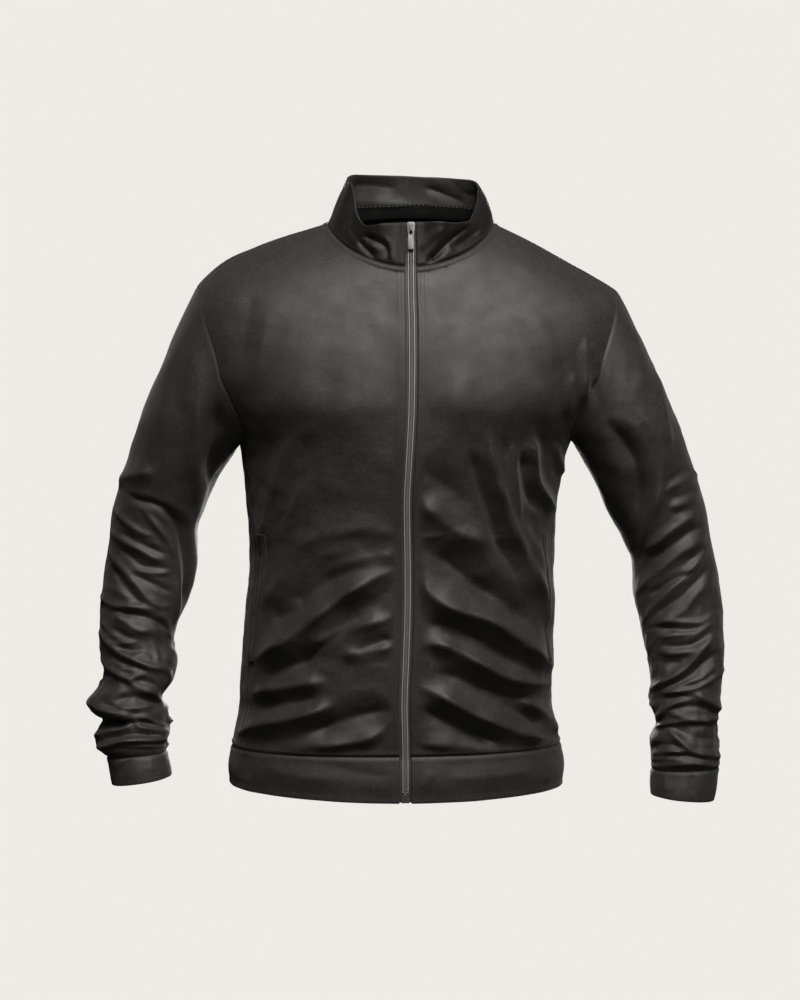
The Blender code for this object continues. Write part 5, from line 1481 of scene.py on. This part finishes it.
# Metal plates: outlines (across, up), the heights of both faces, the width of the soft edges
PLATES = {
    "slider_top": ([SLIDER_OUTLINE], -0.0001, 0.0012, 0.00045),
    "slider_bottom": ([SLIDER_OUTLINE], TAPE_BACK - 0.0014, TAPE_BACK - 0.0004, 0.0004),
    "slider_lip_right": ([[(-x, y) for x, y in SLIDER_LIP]], -0.0020, 0.0002, 0.00015),
    "slider_lip_left": ([SLIDER_LIP], -0.0020, 0.0002, 0.00015),
    "slider_post": ([rounded_outline(0.0008, 0.0008, 0.0050, 0.0074, 0.0006)],
                    TAPE_BACK - 0.0006, 0.0002, 0.0001),
    # a plain plate with an eye at its top
    "pull_tab_plate": (
        [rounded_outline(0.0030, 0.0037, PIN_UP - 0.0220, PIN_UP + 0.0007, 0.0016),
         rounded_outline(0.0019, 0.0019, PIN_UP - 0.0056, PIN_UP - 0.0008, 0.0012)[::-1]],
        PIN_OUT - 0.0006, PIN_OUT + 0.0006, 0.00035),
    "zip_bottom_box": ([rounded_outline(0.0046, 0.0046, -0.0003, 0.0094, 0.0009)],
                       -0.0023, 0.0006, 0.0004)}


def plate(name, place, body="jacket", nodes=()):
    """A metal plate with soft edges, in a place's own frame."""
    loops, low, high, bevel = PLATES[name]
    shape = bmesh.new()
    edges = []
    for loop in loops:
        verts = [shape.verts.new((x, y, low)) for x, y in loop]
        edges += [shape.edges.new(pair) for pair in zip(verts, verts[1:] + verts[:1])]
    made = bmesh.ops.triangle_fill(shape, edges=edges, use_beauty=True)
    faces = [f for f in made["geom"] if isinstance(f, bmesh.types.BMFace)]
    grown = bmesh.ops.extrude_face_region(shape, geom=faces)
    moved = [v for v in grown["geom"] if isinstance(v, bmesh.types.BMVert)]
    bmesh.ops.translate(shape, verts=moved, vec=(0, 0, high - low))
    bmesh.ops.recalc_face_normals(shape, faces=shape.faces)
    bmesh.ops.transform(shape, matrix=place, verts=shape.verts)
    mesh = bpy.data.meshes.new(name)
    shape.to_mesh(mesh)
    shape.free()
    mesh.shade_smooth()
    piece = add_object(name, mesh)
    soft = piece.modifiers.new("soft", "BEVEL")
    soft.width = bevel
    soft.segments = 3
    soft.limit_method = "ANGLE"
    soft.angle_limit = math.radians(50)
    dress(piece, METAL, body, nodes)


def make_slider(place):
    """Two plates, a lip along each side, the post between them and the bridge on top."""
    plate("slider_top", place, nodes=("zip_slider",))
    for name in ("slider_bottom", "slider_lip_right", "slider_lip_left", "slider_post"):
        plate(name, place)
    arch = smooth_line(BRIDGE, 3)
    shape, faces = tube_shape(arch, np.full(len(arch), BRIDGE_RADIUS), sides=8)
    shape[:, 0] *= BRIDGE_WIDER
    points = np.array([place @ Vector(p) for p in shape])
    bridge = add_object("slider_bridge", make_mesh("slider_bridge", points, faces))
    dress(bridge, METAL)


RAIL = Rail()
make_coil(RAIL)
make_coil_thread(RAIL)
make_zip_tapes(RAIL)
SLIDER = slider_frame()
make_slider(SLIDER)
plate("pull_tab_plate", SLIDER, body="pull_tab", nodes=("zip_pull",))
HEM_FRAME = frame_at(*(x[0] for x in RAIL.at(np.array([0.0]))))
plate("zip_bottom_box", HEM_FRAME, nodes=("zip_box",))

# ---------------------------------------------------------------- sewing
ZIP_STITCHES = (0.0047, 0.0090)      # two rows, at these distances from the front edge
COLLAR_STITCH, PANEL_STITCH, NECK_TAPE_STITCH = 0.0042, 0.0045, 0.0012   # from the seams
NECK_STITCH_PROUD = 0.0001


def sew():
    """Rows of stitches beside the zip, at the neck and hem seams, and on the neck tape."""
    lines = [SHEETS[part].along(edge, distance)
             for part, edge in (("front_left", "start"), ("front_right", "end"),
                                ("hem_band", "start"), ("hem_band", "end"),
                                ("collar", "start"), ("collar", "end"))
             for distance in ZIP_STITCHES]
    stitch_piece("zip_topstitch", lines, THREAD)
    lines = [SHEETS["collar"].along("bottom", COLLAR_STITCH)]
    lines += [SHEETS[part].along(edge, PANEL_STITCH)
              for part in PANELS for edge in ("top", "bottom")]
    stitch_piece("neck_and_hem_topstitch", lines, THREAD)
    line, away = SHEETS["neck_tape"].along("top", NECK_TAPE_STITCH)
    line = line - away * (TAPE + NECK_STITCH_PROUD)
    stitch_piece("neck_tape_stitch", [(line, -away)], COIL, pitch=0.0052,
                 length=0.0036, radius=0.00026)


sew()

# ---------------------------------------------------------------- camera, light and floor
PALE = (0.855, 0.831, 0.791)
WARM = (1.0, 0.975, 0.935)
# Soft boxes: place, what they face, size, power
LIGHTS = {"key": ((0.35, -1.60, 2.10), (0, 0, -0.30), (1.3, 0.8), 102),
          "front": ((0.60, -2.45, 1.20), (0, 0, -0.30), (1.0, 0.6), 20),
          "back": ((0.0, 2.4, -0.15), (0, 0, -0.35), (1.2, 1.2), 40)}
AMBIENT = 0.035
SENSOR_WIDTH = 36.0
FLOOR_Z, FLOOR_SIZE = -1.5, 30


def face_towards(thing, place, target):
    thing.location = place
    thing.rotation_euler = (Vector(target) - Vector(place)).to_track_quat("-Z", "Y").to_euler()


def add_camera():
    camera = add_object("camera", bpy.data.cameras.new("camera"))
    tilt = math.radians(VIEW["elevation"])
    target = Vector(VIEW["target"])
    off = VIEW["distance"] * Vector((0, -math.cos(tilt), math.sin(tilt)))
    face_towards(camera, target + off, target)
    camera.data.sensor_width = SENSOR_WIDTH
    camera.data.lens = SENSOR_WIDTH / 2 * VIEW["distance"] / VIEW["half_field"]
    bpy.context.scene.camera = camera


def add_lights():
    for name, (place, aim, size, power) in LIGHTS.items():
        lamp = bpy.data.lights.new(name, "AREA")
        lamp.shape = "RECTANGLE"
        lamp.size, lamp.size_y = size
        lamp.energy = power
        lamp.color = WARM
        face_towards(add_object(name, lamp), place, aim)


def add_surroundings():
    """A pale backdrop for the camera that sheds only a little light on the cloth."""
    world = bpy.data.worlds.new("studio")
    bpy.context.scene.world = world
    world.use_nodes = True
    tree = world.node_tree
    shown = tree.nodes["Background"]
    shown.inputs["Color"].default_value = (*PALE, 1)
    dim = add_node(tree, "ShaderNodeBackground", {"Color": (*PALE, 1), "Strength": AMBIENT})
    rays = tree.nodes.new("ShaderNodeLightPath")
    mix = tree.nodes.new("ShaderNodeMixShader")
    tree.links.new(rays.outputs["Is Camera Ray"], mix.inputs["Fac"])
    tree.links.new(dim.outputs["Background"], mix.inputs[1])
    tree.links.new(shown.outputs["Background"], mix.inputs[2])
    tree.links.new(mix.outputs["Shader"], tree.nodes["World Output"].inputs["Surface"])


def add_floor():
    """A plain floor far below, of the backdrop's own tone."""
    bpy.ops.mesh.primitive_plane_add(size=FLOOR_SIZE, location=(0, 0, FLOOR_Z))
    floor = bpy.context.object
    floor.name = "floor"
    glow, _, shader = nodes_of("pale_floor")
    set_inputs(shader, {"Base Color": (0, 0, 0, 1), "Roughness": 1.0,
                        "Specular IOR Level": 0.0, "Emission Color": (*PALE, 1),
                        "Emission Strength": 1.0})
    floor.data.materials.append(glow)
    floor.visible_diffuse = False
    floor.visible_glossy = False
    floor.visible_shadow = False


add_camera()
add_lights()
add_surroundings()
add_floor()
bpy.context.scene.view_settings.view_transform = "Standard"
